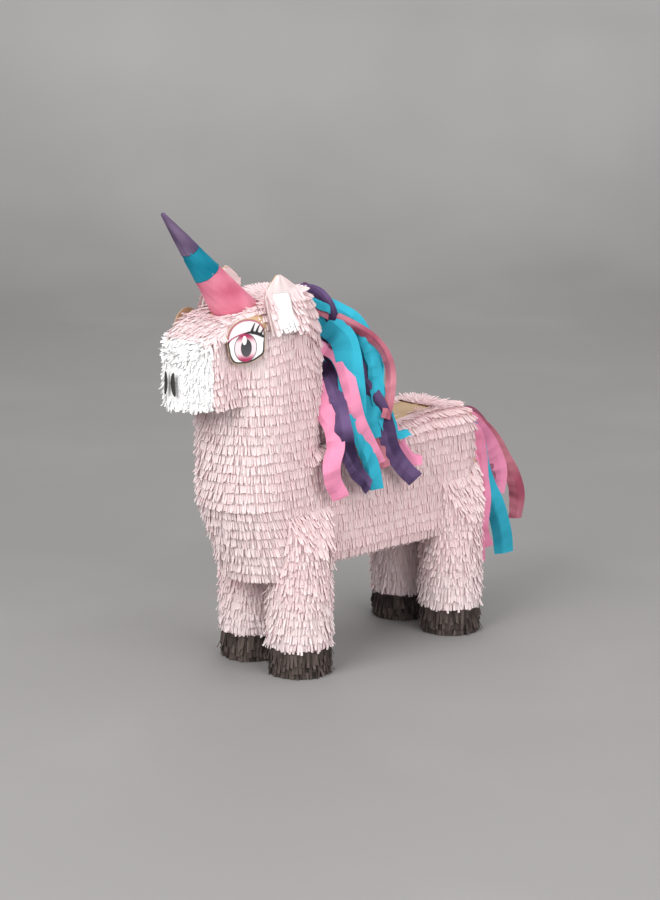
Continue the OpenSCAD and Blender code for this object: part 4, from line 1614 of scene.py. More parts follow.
@dataclass
class Ear:
    """A paper ear: a fringed pocket over card, with a soft point and a smooth white strip."""

    form: Form
    side: int
    width: float = 50 * MM
    height: float = 64 * MM
    lean: float = 17.5
    strip_w: float = 24.5 * MM
    strip_low: float = 4 * MM
    strip_high: float = 44 * MM
    strip_ahead: float = 6 * MM

    def axes(self) -> tuple[Array, Array, Array, Array]:
        """The foot's middle, and the directions backward, up the ear and outward."""
        low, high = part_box("ear_card_left")
        lean = math.radians(self.lean)
        foot = np.array([self.side * 63 * MM, (low.y + high.y) / 2, low.z])
        up = np.array([-self.side * math.sin(lean), 0.0, math.cos(lean)])
        out = np.array([self.side * math.cos(lean), 0.0, math.sin(lean)])
        return foot, np.array([0.0, 1.0, 0.0]), up, out

    def half_width(self, v: Array) -> tuple[Array, Array]:
        """How far the ear reaches forward and backward at height v.

        Args:
            v: Heights above the foot.

        Returns:
            The reach forward and the reach backward.
        """
        h = self.height
        fore = np.interp(v, [-0.02 * h, 0.55 * h, 0.66 * h, 0.84 * h, 0.94 * h, 1.0 * h],
                         np.array([25, 25.5, 25, 16, 8, 3.5]) * MM)
        aft = np.interp(v, [-0.02 * h, 0.55 * h, 0.64 * h, 0.82 * h, 0.92 * h, 1.0 * h],
                        np.array([25, 25.5, 25, 17, 9, 1.5]) * MM)
        return fore, aft

    def pocket(self) -> Piece:
        """The folded paper over the card, with shallow pleats that meet at the point."""
        foot, back, up, out = self.axes()
        rows, columns = 40, 41
        v = np.linspace(-0.01, 1.0, rows) * self.height
        u = np.linspace(-1.0, 1.0, columns)
        fore, aft = self.half_width(v)
        y = np.where(u[None] < 0, u[None] * fore[:, None], u[None] * aft[:, None])
        share = (v / self.height)[:, None]
        swell = (1.0 - np.abs(u[None]) ** 3) * (1.5 + 1.3 * np.sin(np.pi * np.clip(share, 0, 1))) * MM
        pleat = 0.55 * MM * np.sin(9.0 * u[None] + 5.0 * share) * smooth((share - 0.6) / 0.3)
        front = foot + y[..., None] * back + v[:, None, None] * up + (0.9 * MM + swell + pleat)[...,
            None] * out
        rear = foot + y[..., None] * back + v[:, None, None] * up - (0.9 * MM + 0.5 * swell)[...,
            None] * out
        loop = np.concatenate([front, rear[:, ::-1]], axis=1)
        around = 2 * columns
        quads = [grid_quads(rows, around, wrapped=True)]
        for row in (0, rows - 1):
            first = row * around + np.arange(columns - 1)
            second = row * around + around - 1 - np.arange(columns - 1)
            cap = np.stack([first, first + 1, second - 1, second], -1)
            quads.append(cap if row == 0 else cap[:, ::-1])
        sheaf = Sheaf()
        tones = 0.72 + 0.12 * np.tile(np.sin(np.linspace(0, 9, around)), rows)
        sheaf.gather(loop.reshape(-1, 3), np.concatenate(quads), tones)
        return sheaf.build(f"ear_pocket_{side_name(self.side)}", Shade.BLUSH, "pink_tissue",
            [f"ear_paper_{side_name(self.side)}"], rounded=True)

    def strip(self) -> Piece:
        """The smooth white strip, slightly puffed."""
        foot, back, up, out = self.axes()
        rows, columns = 26, 15
        v = np.linspace(self.strip_low + 6 * MM, self.strip_high, rows)
        u = np.linspace(-1.0, 1.0, columns)
        offsets = np.zeros((rows, columns, 2))
        taper = 1.0 - 0.10 * smooth((v - 34 * MM) / (8 * MM))
        offsets[..., 0] = u[None] * self.strip_w / 2 * taper[:, None]
        offsets[..., 1] = (4.1 + 0.7 * (1.0 - u[None] ** 2)) * MM + 0.18 * MM * np.sin(
            4.0 * u[None] + v[:, None] * 260.0
        )
        centre = foot + v[:, None] * up - self.strip_ahead * back
        points, quads = leaf(centre, np.tile(back, (rows, 1)), np.tile(out, (rows, 1)), offsets, 0.4 * MM)
        sheaf = Sheaf()
        sheaf.gather(points, quads, 0.75)
        return sheaf.build(f"ear_lining_strip_{side_name(self.side)}", Shade.SNOW, "white_tissue",
                           [f"ear_lining_{side_name(self.side)}"], rounded=True)

    def tufts(self, rng: Rng) -> list[Piece]:
        """Fringe round the strip, white under it and pink on both sides and on the back.

        Args:
            rng: The source of chance.

        Returns:
            The pieces.
        """
        foot, back, up, out = self.axes()
        pink, white = Sheaf(), Sheaf()
        cut = Cut(width=4.0 * MM, length=13 * MM, lift=10, lift_spread=8, curl=6, sway=8, tone=0.62)
        for face, turned in ((1.0, out), (-1.0, -out)):
            for v in (10 * MM, 19 * MM, 28 * MM, 37 * MM, 44 * MM):
                if face < 0 and v < 14 * MM:
                    continue
                for _ in range(cut.plies):
                    y = np.arange(-23.0, 23.5, 4.0) * MM + rng.normal(0.0, 0.4 * MM, 12)
                    clear = np.abs(y + self.strip_ahead) > self.strip_w / 2 + 0.5 * MM
                    y = y[clear] if face > 0 else y
                    n = len(y)
                    depth = (3.6 if face > 0 else 1.6) * MM
                    root = foot + y[:, None] * back + (v + rng.normal(0, 0.8 * MM, n))[:,
                        None] * up + depth * turned
                    fingers(pink, cut, root, np.tile(-up, (n, 1)), np.tile(turned, (n, 1)),
                            np.tile(back, (n, 1)), np.full(n, cut.width), np.full(n, 1.0),
                            cut.tone + rng.normal(0, 0.15, n), rng)
        for v in (self.strip_low + 13 * MM, self.strip_low + 8 * MM):
            y = np.linspace(-0.45, 0.45, 7) * self.strip_w - self.strip_ahead
            root = foot + y[:, None] * back + v * up + 4.6 * MM * out
            fingers(white, Cut(length=12 * MM, lift=7, curl=8), root, np.tile(-up, (7, 1)),
                np.tile(out, (7, 1)), np.tile(back, (7, 1)), np.full(7, self.strip_w / 7),
                np.full(7, 1.0), 0.7 + rng.normal(0, 0.1, 7), rng)
        return [
            pink.build(f"ear_fringe_{side_name(self.side)}", Shade.BLUSH, "pink_tissue"),
            white.build(f"ear_lining_fringe_{side_name(self.side)}", Shade.SNOW, "white_tissue"),
        ]

    def build(self, rng: Rng) -> list[Piece]:
        """Builds the ear."""
        return [self.pocket(), self.strip(), *self.tufts(rng)]


@dataclass
class Eye:
    """A printed card eye: kraft back, then white, lid, iris, pupil, shine and lashes as thin layers."""

    form: Form
    side: int
    turn: float = 15.6
    layer: float = 0.12 * MM
    iris_y: float = -7.0

    def axes(self) -> tuple[Array, Array, Array, Array]:
        """The middle of the card, and the directions backward, up and outward."""
        low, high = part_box("eye_left" if self.side > 0 else "eye_right")
        centre = (np.array(low) + np.array(high)) / 2
        turn = math.radians(self.turn)
        out = np.array([self.side * math.cos(turn), -math.sin(turn), 0.0])
        back = np.array([self.side * math.sin(turn), math.cos(turn), 0.0])
        return centre, back, np.array([0.0, 0.0, 1.0]), out

    def patch(self, name: str, shade: Shade, outer: Array, level: int,
              tone: Union[float, Callable[[Array], Array]], replaced: Sequence[str] = ()) -> Piece:
        """One printed shape, as a thin closed layer.

        Args:
            name: The shape's name.
            shade: Its ink.
            outer: Its outline, n by 2, in metres from the card's middle (backward, up).
            level: How many layers above the card it lies.
            tone: The ink's tone, or what gives it at points.
            replaced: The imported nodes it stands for.

        Returns:
            The shape.
        """
        centre, back, up, out = self.axes()
        n = len(outer)
        core = np.broadcast_to(outer.mean(0), (n, 2))
        rings = np.stack([core + (outer - core) * share for share in np.linspace(0.002, 1.0, 7)])
        lift = 0.45 * MM + level * self.layer
        thick = 0.9 * MM if replaced else self.layer * 1.5
        flat = rings.reshape(-1, 2)
        top = centre + flat[:, :1] * back + flat[:, 1:] * up + lift * out
        low = top - thick * out
        count = len(flat)
        quads = grid_quads(7, n, wrapped=True)
        index = np.arange(n)
        after = (index + 1) % n
        last = 6 * n
        rim = np.stack([index + last, after + last, after + last + count, index + last + count], -1)
        core_rim = np.stack([index, index + count, after + count, after], -1)
        sheaf = Sheaf()
        tones = tone(flat) if callable(tone) else np.full(count, tone)
        sheaf.gather(
            np.concatenate([top, low]),
            np.concatenate([quads, quads[:, ::-1] + count, rim, core_rim]),
            np.concatenate([tones, tones]),
        )
        return sheaf.build(f"{name}_{side_name(self.side)}", shade, "printed_card", replaced)

    def stroke(self, name: str, shade: Shade, level: int, tone: float,
               line: Sequence[tuple[float, float, float]]) -> Piece:
        """One printed line of changing width, as a thin closed layer.

        Args:
            name: The line's name.
            shade: Its ink.
            level: How many layers above the card it lies.
            tone: The ink's tone.
            line: Points as (backward, up, half width), in millimetres.

        Returns:
            The line.
        """
        centre, back, up, out = self.axes()
        rows = 30
        path = spline(np.array(line, float) * MM, rows)
        flat = centre + path[:, :1] * back + path[:, 1:2] * up + (0.45 * MM + level * self.layer) * out
        heading = unit(np.gradient(flat, axis=0))
        facing = np.tile(out, (rows, 1))
        offsets = np.zeros((rows, 3, 2))
        offsets[..., 0] = np.array([-1.0, 0.0, 1.0])[None] * path[:, 2:3]
        points, quads = leaf(flat, unit(np.cross(facing, heading)), facing, offsets, self.layer)
        sheaf = Sheaf()
        sheaf.gather(points, quads, tone)
        return sheaf.build(f"{name}_{side_name(self.side)}", shade, "printed_card")

    def ring(self, p: Array) -> Array:
        """The iris's tone: palest across its middle."""
        return 1.0 - smooth((np.abs(p[:, 1] / MM - self.iris_y) - 5.0) / 7.5)

    def shaded(self, p: Array) -> Array:
        """The pupil's tone: darkest at its top."""
        return np.clip(0.25 - (p[:, 1] / MM - self.iris_y) / 22.0, 0.0, 1.0)

    @staticmethod
    def outline(points: Sequence[tuple[float, float]], count: int = 96) -> Array:
        """A smooth closed outline through given points, in millimetres.

        Args:
            points: The points, in order.
            count: How many points the result has.

        Returns:
            The outline in metres.
        """
        p = np.array(points, float) * MM
        n = len(p)
        t = np.linspace(0.0, n, count, endpoint=False)
        i = t.astype(int)
        f = (t - i)[:, None]
        a, b, c, d = p[(i - 1) % n], p[i % n], p[(i + 1) % n], p[(i + 2) % n]
        return 0.5 * (2 * b + (c - a) * f + (2 * a - 5 * b + 4 * c - d) * f**2
            + (3 * b - a - 3 * c + d) * f**3)

    def build(self) -> list[Piece]:
        """Builds the eye from its card outward."""
        card = self.outline([(-21.9, 0), (-21, 7), (-18, 14), (-12, 19.8), (-2, 23.6), (10, 22.6),
            (19, 17), (22.2, 9), (22.3, 0), (21.4, -14), (16, -18.6), (8.6, -22), (1.5, -23.8), (-7, -24),
            (-13.4, -22.8), (-17.4, -18.5), (-19.6, -12), (-20.8, -5)])
        white = self.outline([(-19, 0), (-18.4, -8), (-16.8, -15), (-12.6, -20.8), (-6, -22),
            (1.5, -21.8), (8, -20), (14.8, -16.6), (19.4, -12.6), (20.2, -4), (20.4, 4), (12, 9), (0, 9),
            (-10, 6.6)])
        lid = self.outline([(-20.6, 1), (-19.4, 7.4), (-16.6, 13.2), (-11.2, 18.2), (-2, 21.8),
            (9.6, 20.8), (17.6, 15.8), (20.6, 8.6), (19.6, 5.4), (11, 9), (0, 8.6), (-11, 5.8)])
        iris = np.stack([np.cos(np.linspace(0, 2 * np.pi, 96, endpoint=False)),
                         np.sin(np.linspace(0, 2 * np.pi, 96, endpoint=False))], -1) * MM
        iris_y = self.iris_y
        made = [self.patch("eye_card", Shade.KRAFT, card * 1.01, -1, 0.5,
            [f"eye_{side_name(self.side)}"]), self.patch("eye_outline", Shade.PRINT_BLACK, card * 0.985,
            0, 0.5), self.patch("eye_white", Shade.PRINT_WHITE, white, 1, 0.95),
            self.patch("eye_lid", Shade.PRINT_LID, lid, 1, 0.85),
            self.patch("eye_iris_rim", Shade.PRINT_GREY, iris * [13.3, 15.6] + [-0.4 * MM, iris_y * MM],
            2, 0.6), self.patch("eye_iris", Shade.PRINT_MAGENTA, iris * [12.5, 14.9]
            + [-0.4 * MM, iris_y * MM], 3, self.ring),
            self.patch("eye_pupil", Shade.PRINT_GREY, iris * [6.4, 9.6] + [0.3 * MM, (iris_y - 0.2) * MM],
            4, self.shaded), self.patch("eye_shine", Shade.PRINT_WHITE, iris * [2.6, 4.9]
            + [-1.9 * MM, 1.2 * MM], 7, 0.95), self.stroke("eye_lid_arc", Shade.PRINT_MAGENTA, 2, 0.2,
            [(-20.9, 0.6, 0.6), (-19.6, 7.6, 0.8), (-16.6, 13.8, 0.8), (-11.4, 18.8, 0.8),
            (-2, 22.4, 0.8), (9.8, 21.4, 0.8), (17.8, 16.4, 0.7), (21.2, 9, 0.4)]),
            self.stroke("eye_lid_line", Shade.PRINT_MAGENTA, 5, 0.05,
            [(-20.6, 0.8, 0.5), (-16, 4, 0.6), (-10.4, 6.4, 0.7), (-3, 8.4, 0.8), (5, 9.8, 1.0)]),
            self.stroke("eye_lash_line", Shade.PRINT_BLACK, 6, 0.5,
            [(-2, 8.6, 0.5), (4, 9.4, 1.2), (10, 8.6, 1.6), (16, 6.6, 1.7), (20.8, 3.4, 1.1)])]
        for k, lash in enumerate((
            [(6.6, 9, 1.6), (7.4, 12, 1.4), (8.8, 15.6, 0.9), (10.6, 19.4, 0.3)],
            [(12, 8.2, 1.5), (13, 11.2, 1.2), (14.6, 14.6, 0.8), (16.4, 17.4, 0.3)],
            [(17.2, 6, 1.3), (18.2, 8.2, 1.1), (19.6, 10.6, 0.7), (21.4, 12.8, 0.25)],
        )):
            made.append(self.stroke(f"eye_lash_{k + 1}", Shade.PRINT_BLACK, 6, 0.5, lash))
        return made


@dataclass
class Nostrils:
    """Two long black strokes down the front of the muzzle."""

    form: Form
    stand_off: float = 4.6 * MM
    half_width: float = 2.9 * MM

    def build(self) -> list[Piece]:
        """Builds both nostrils, curved round the muzzle."""
        low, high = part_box("nostrils")
        middle = (low.z + high.z) / 2
        made = []
        for side, name in ((1, "left"), (-1, "right")):
            rows, columns = 24, 7
            t = np.linspace(-1.0, 1.0, rows)
            width = self.half_width * np.sqrt(np.maximum(1.0 - t**2, 0.0)) + 0.25 * MM
            radius = self.form.snout_r + self.stand_off
            x = side * (6.0 + 1.6 * t**2 - 0.9 * t) * MM
            angle = x / radius
            centre = np.stack([radius * np.sin(angle), self.form.snout_c - radius * np.cos(angle), middle
                + t * 13.0 * MM], -1)
            across = np.stack([np.cos(angle), np.sin(angle), np.zeros(rows)], -1)
            facing = np.stack([np.sin(angle), -np.cos(angle), np.zeros(rows)], -1)
            offsets = np.zeros((rows, columns, 2))
            u = np.linspace(-1.0, 1.0, columns)
            offsets[..., 0] = u[None] * width[:, None]
            offsets[..., 1] = 0.5 * MM * (1.0 - u[None] ** 2)
            points, quads = leaf(centre, across, facing, offsets, 0.5 * MM)
            sheaf = Sheaf()
            sheaf.gather(points, quads, 0.5)
            replaced = ["nostrils"] if side > 0 else []
            made.append(
                sheaf.build(f"nostril_{name}", Shade.PAINT_BLACK, "black_card", replaced, rounded=True)
            )
        return made


# ---- ribbons ----


FRONT_SIDE = (0.724, -0.652, 0.223)
RIGHT_FACE = (-0.75, -0.45, 0.4)


@dataclass(frozen=True)
class Ribbon:
    """One paper ribbon: where it runs, how it turns and what it is cut from."""

    name: str
    shade: Shade
    path: tuple[tuple[float, float, float], ...]
    turns: tuple[float, ...] = (0.0,)
    width: float = 18 * MM
    faces: tuple[float, float, float] = FRONT_SIDE
    fold: float = 3.2 * MM
    ahead: float = 0.0
    seed: int = 1


def spline(points: Array, count: int) -> Array:
    """A smooth open line through given points.

    Args:
        points: The points, n by k.
        count: How many points the result has.

    Returns:
        Points evenly spaced along it.
    """
    ends = np.concatenate([[2 * points[0] - points[1]], points, [2 * points[-1] - points[-2]]])
    fine = []
    for a, b, c, d in zip(ends, ends[1:], ends[2:], ends[3:]):
        f = np.linspace(0.0, 1.0, 40, endpoint=False)[:, None]
        fine.append(0.5 * (2 * b + (c - a) * f + (2 * a - 5 * b + 4 * c - d) * f**2
            + (3 * b - a - 3 * c + d) * f**3))
    line = np.concatenate(fine + [points[-1:]])
    run = np.concatenate([[0.0], np.cumsum(np.linalg.norm(np.diff(line[:, :3], axis=0), axis=1))])
    even = np.linspace(0.0, run[-1], count)
    return np.stack([np.interp(even, run, line[:, k]) for k in range(line.shape[1])], -1)


def lay_ribbon(ribbon: Ribbon, origin: Vector, slot: str,
               replaced: Sequence[str]) -> Piece:
    """Builds one ribbon as a thin folded sheet.

    Args:
        ribbon: The ribbon.
        origin: The point that its path is measured from.
        slot: The record's material slot.
        replaced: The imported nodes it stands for.

    Returns:
        The ribbon.
    """
    rng = np.random.default_rng(ribbon.seed)
    path = np.array(ribbon.path) * MM + np.array(origin)
    turns = np.interp(np.linspace(0, 1, len(path)), np.linspace(0, 1, len(ribbon.turns)), ribbon.turns)
    rows = 90
    line = spline(np.concatenate([path, turns[:, None]], 1), rows)
    centre, turn = line[:, :3], np.radians(line[:, 3])
    share = smooth(np.linspace(0.0, 3.0, rows))[:, None]
    centre = centre + share * ribbon.ahead * MM * np.array(FRONT_SIDE)
    heading = unit(np.gradient(centre, axis=0))
    toward = unit(np.array(ribbon.faces))
    level = unit(np.cross(heading, toward))
    normal = unit(np.cross(level, heading))
    across = unit(level * np.cos(turn)[:, None] + normal * np.sin(turn)[:, None])
    facing = unit(np.cross(across, heading))
    columns = 11
    u = np.linspace(-1.0, 1.0, columns)
    length = float(np.linalg.norm(np.diff(centre, axis=0), axis=1).sum())
    run = np.linspace(0.0, length, rows)
    gathered = 0.55 + 0.45 * smooth(run / (26 * MM))
    crease = rng.uniform(-0.3, 0.3) + 0.2 * np.sin(run * rng.uniform(20, 34) + rng.uniform(0, 6))
    depth = ribbon.fold * (0.8 + 0.7 * np.sin(run * rng.uniform(16, 30) + rng.uniform(0, 6)))
    offsets = np.zeros((rows, columns, 2))
    slant = rng.uniform(-6, 6) * MM
    offsets[..., 0] = u[None] * ribbon.width / 2 * gathered[:, None]
    offsets[..., 1] = depth[:, None] * (0.5 - np.abs(u[None] - crease[:, None]))
    for size, reach in ((31 * MM, 4.2 * MM), (17 * MM, 1.8 * MM)):
        along = (run[:, None] + slant * u[None]) / (size * rng.uniform(0.85, 1.2)) + rng.uniform(0, 1)
        offsets[..., 1] += reach * (np.abs(2.0 * (along - np.floor(along)) - 1.0) - 0.5) * (0.55
            + 0.45 * u[None])
    points, quads = leaf(centre, across, facing, offsets, 0.25 * MM)
    sheaf = Sheaf()
    # Painted shade: the tone darkens and lightens along each ribbon, and one side of each fold against the
    # other, for the shade in its creases.
    painted_fold_shade = np.sin(run * 45 + rng.uniform(0, 6)) + 0.6 * np.sin(run * 130 + rng.uniform(0, 6))
    tone = 0.5 + 0.26 * painted_fold_shade[:, None] + 0.2 * np.sign(u - 0.2)[None] * np.sin(run * 70
        + rng.uniform(0, 6))[:, None]
    tones = np.concatenate([tone, tone[:, ::-1]], 1).ravel()
    sheaf.gather(points, quads, tones)
    made = sheaf.build(ribbon.name, ribbon.shade, slot, replaced)
    return made


# Mane ribbons, in millimetres from the middle of the neck's back face at the height of the head's top
MANE = (
    Ribbon(
        "mane_ribbon_01", Shade.PLUM, ((1, -14, -3), (4, -8, -4), (10, -1, -7), (17, 4, -13),
        (22, 10, -24), (25, 16, -44), (27, 22, -70)), (0, 10, -10, 20), 15 * MM, ahead=-4, seed=3),
    Ribbon(
        "mane_ribbon_02", Shade.TEAL, ((2, -8, -14), (12, 7, -20), (24, 27, -31), (34, 42, -45),
        (44, 50, -67), (52, 53, -89), (60, 50, -115), (66, 52, -142), (71, 60, -166)), (0, 20, -5, 25,
        5, 30), ahead=3, seed=5),
    Ribbon(
        "mane_ribbon_03", Shade.CANDY, ((3, -5, -26), (12, 12, -33), (24, 28, -42), (36, 42, -52),
        (46, 56, -64), (55, 67, -82), (61, 70, -104), (66, 64, -130), (70, 54, -152)), (20, 10, -10, 0,
        -20, 5, 20), 12 * MM, ahead=9, seed=8),
    Ribbon(
        "mane_ribbon_04", Shade.TEAL, ((3, -3, -38), (10, 12, -44), (22, 18, -52), (34, 22, -62),
        (44, 20, -76), (52, 16, -92), (60, 13, -118), (66, 12, -150)), (0, -10, 10, -10, 30), 30 * MM,
        ahead=4, seed=11),
    Ribbon(
        "mane_ribbon_05", Shade.TEAL, ((3, -4, -46), (14, 26, -52), (28, 48, -66), (42, 56, -88),
        (56, 44, -110), (65, 38, -140), (71, 40, -172)), (0, 10, -10, 20), 30 * MM, ahead=-3, seed=12),
    Ribbon(
        "mane_ribbon_06", Shade.ROSE, ((3, -2, -60), (14, 10, -69), (28, 12, -76), (42, 12, -84),
        (54, 9, -98), (64, 7, -118), (70, 12, -147), (73, 26, -176), (74, 40, -202)), (50, 40, 10, -15,
        25, 0), ahead=1, seed=17),
    Ribbon(
        "mane_ribbon_07", Shade.PLUM, ((4, 0, -76), (12, 10, -92), (28, 6, -104), (46, 1, -121),
        (61, -6, -142), (70, -9, -160), (74, -7, -180), (75, 6, -203), (75, 26, -226)), (10, -15, 20,
        -10, 15, 35), 20 * MM, ahead=9, seed=14),
    Ribbon(
        "mane_ribbon_08", Shade.TEAL, ((4, 2, -72), (14, 22, -90), (32, 18, -106), (50, 12, -126),
        (63, 10, -146), (70, 16, -171), (72, 29, -198), (73, 36, -231)), (40, 55, 35, 50, 10, -20),
        ahead=5, seed=31),
    Ribbon(
        "mane_ribbon_09", Shade.PLUM, ((3, 0, -56), (12, 30, -66), (24, 42, -82), (38, 41, -99),
        (50, 44, -118), (61, 52, -139), (68, 57, -163), (71, 63, -189), (74, 80, -213), (76, 96, -228)),
        (0, 20, -15, 10, -25, 10, 0, -10), 20 * MM, ahead=8, seed=25),
    Ribbon(
        "mane_ribbon_10", Shade.TEAL, ((3, -1, -64), (16, 34, -84), (36, 48, -110), (54, 56, -130),
        (62, 60, -144), (67, 66, -160), (70, 74, -172), (72, 88, -170)), (10, 30, -20, 35, 60), 16 * MM,
        seed=33),
    Ribbon(
        "mane_ribbon_11", Shade.ROSE, ((4, -6, -84), (20, -10, -100), (38, -19, -120), (54, -23, -138),
        (64, -21, -152), (71, -23, -171), (75, -32, -190), (76, -30, -211), (75, -18, -231)), (30, 10,
        -20, 15, -30, 20, -15), 20 * MM, ahead=4, seed=28),
    Ribbon(
        "mane_ribbon_12", Shade.CANDY, ((3, 0, -66), (14, 30, -80), (30, 40, -96), (47, 42, -122),
        (59, 43, -150), (68, 48, -178), (73, 52, -207)), (20, 0, 25, -10, 20), 24 * MM, seed=21),
    Ribbon(
        "mane_ribbon_13", Shade.ROSE, ((3, 1, -70), (16, 40, -96), (34, 66, -136), (50, 84, -170),
        (61, 89, -190), (70, 96, -203), (75, 107, -206)), (10, -20, 30, 50), 15 * MM, seed=36),
    Ribbon(
        "mane_ribbon_14", Shade.MAUVE, ((-2, -12, -4), (-10, 2, -8), (-22, 18, -22), (-36, 30, -46),
        (-50, 36, -80), (-61, 36, -120), (-68, 34, -160), (-72, 30, -200)), (0, -15, 20, -10, 15),
        18 * MM, RIGHT_FACE, seed=41),
    Ribbon(
        "mane_ribbon_15", Shade.PLUM, ((-3, -6, -22), (-14, 12, -32), (-30, 24, -52), (-46, 26, -84),
        (-58, 22, -120), (-67, 20, -160), (-72, 24, -202)), (0, 25, -15, 20, -10), 20 * MM, RIGHT_FACE,
        seed=44),
    Ribbon(
        "mane_ribbon_16", Shade.TEAL, ((-3, -2, -40), (-16, 12, -52), (-34, 16, -78), (-50, 8, -112),
        (-62, 0, -148), (-70, 2, -186), (-74, 12, -222)), (10, -20, 25, -15, 20), 20 * MM, RIGHT_FACE,
        seed=47),
    Ribbon(
        "mane_ribbon_17", Shade.CANDY, ((-4, 0, -56), (-20, 8, -72), (-38, 2, -98), (-54, -10, -128),
        (-65, -20, -160), (-72, -24, -196)), (-20, 15, -25, 20), 20 * MM, RIGHT_FACE, seed=50),
    Ribbon(
        "mane_ribbon_18", Shade.PLUM, ((-4, 1, -72), (-22, 18, -92), (-42, 30, -122), (-58, 40, -152),
        (-68, 48, -184), (-73, 58, -214)), (0, -25, 20, -15), 20 * MM, RIGHT_FACE, seed=53),
)
# Tail ribbons, in millimetres from the middle of the tail's tab
TAIL = (
    Ribbon(
        "tail_ribbon_1", Shade.CANDY, ((0, 0, 8), (1, 14, 6), (2, 40, -9), (4, 62, -29), (8, 79, -55),
        (10, 94, -79), (12, 102, -106), (12, 100, -136)), (0, 15, -10, 20, 0, 35), 20 * MM, FRONT_SIDE,
        seed=61),
    Ribbon(
        "tail_ribbon_2", Shade.TEAL, ((0, 1, 2), (2, 22, -8), (6, 36, -34), (12, 41, -60),
        (18, 45, -85), (24, 51, -112), (28, 58, -143), (30, 61, -170)), (30, 10, 20, 45, 0, -10, 10),
        24 * MM, seed=64),
    Ribbon(
        "tail_ribbon_3", Shade.ROSE, ((1, 1, 4), (2, 20, 2), (4, 45, -20), (8, 62, -46), (12, 68, -70),
        (14, 61, -96)), (0, -20, 20, -10), 21 * MM, seed=67),
    Ribbon(
        "tail_ribbon_4", Shade.ROSE, ((1, 1, -4), (6, 28, -16), (10, 34, -42), (16, 34, -70),
        (22, 30, -99), (26, 22, -132), (28, 30, -158)), (10, -15, 30, -20, 0), 20 * MM, FRONT_SIDE,
        seed=70),
    Ribbon(
        "tail_ribbon_5", Shade.MAUVE, ((-1, 2, -6), (-8, 20, -16), (-16, 30, -46), (-20, 30, -90),
        (-20, 26, -132), (-18, 26, -168)), (0, -30, 20, -20), 20 * MM, (-0.6, 0.7, 0.3), seed=73),
    Ribbon(
        "tail_ribbon_7", Shade.MAUVE, ((1, 1, 6), (3, 26, 6), (6, 46, -14), (10, 56, -40),
        (14, 58, -66), (16, 52, -92)), (0, 20, -15, 10), 20 * MM, ahead=-8, seed=79),
    Ribbon(
        "tail_ribbon_6", Shade.ROSE, ((1, 2, -8), (4, 24, -26), (12, 22, -60), (20, 18, -97),
        (26, 14, -133), (28, 17, -174)), (0, 25, -15, 20), 20 * MM, seed=76),
)


@dataclass
class ManeAndTail:
    """The glued strips and the ribbons that hang from them."""

    form: Form

    def slot_of(self, ribbon: Ribbon) -> str:
        """The record's slot for a ribbon's tissue."""
        slots = {Shade.TEAL: "teal_tissue", Shade.PLUM: "purple_tissue"}
        return slots.get(ribbon.shade, "rose_tissue")

    def build(self) -> list[Piece]:
        """Builds every ribbon."""
        made = []
        stands_for = {"mane_ribbon_07": ["mane_purple"], "mane_ribbon_02": ["mane_teal"],
            "mane_ribbon_06": ["mane_pink"], "tail_ribbon_1": ["tail_pink"],
            "tail_ribbon_2": ["tail_teal"], "tail_ribbon_3": ["tail_rose"]}
        low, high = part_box("tail_tab")
        nape = Vector((0.0, self.form.neck_back, self.form.head_top))
        dock = Vector((0.0, self.form.rump_y, (low.z + high.z) / 2))
        for group, origin, root in ((MANE, nape, "mane_strip"), (TAIL, dock, "tail_tab")):
            for ribbon in group:
                replaced = stands_for.get(ribbon.name, [])
                made.append(lay_ribbon(ribbon, origin, self.slot_of(ribbon), replaced))
        return made


@dataclass
class CardShell:
    """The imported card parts, given their finishes where they stand."""

    def dress(self) -> None:
        """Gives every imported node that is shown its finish."""
        for name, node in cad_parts.items():
            if node.hide_render:
                continue
            shade = Shade.KRAFT
            if name.startswith("sole"):
                shade = Shade.SOLE
            elif name in ("mane_strip", "tail_tab"):
                shade = Shade.BLUSH
            node.data.materials.clear()
            node.data.materials.append(shade.material())
            log.info("%s: packed node, %s", name, shade.name.lower())


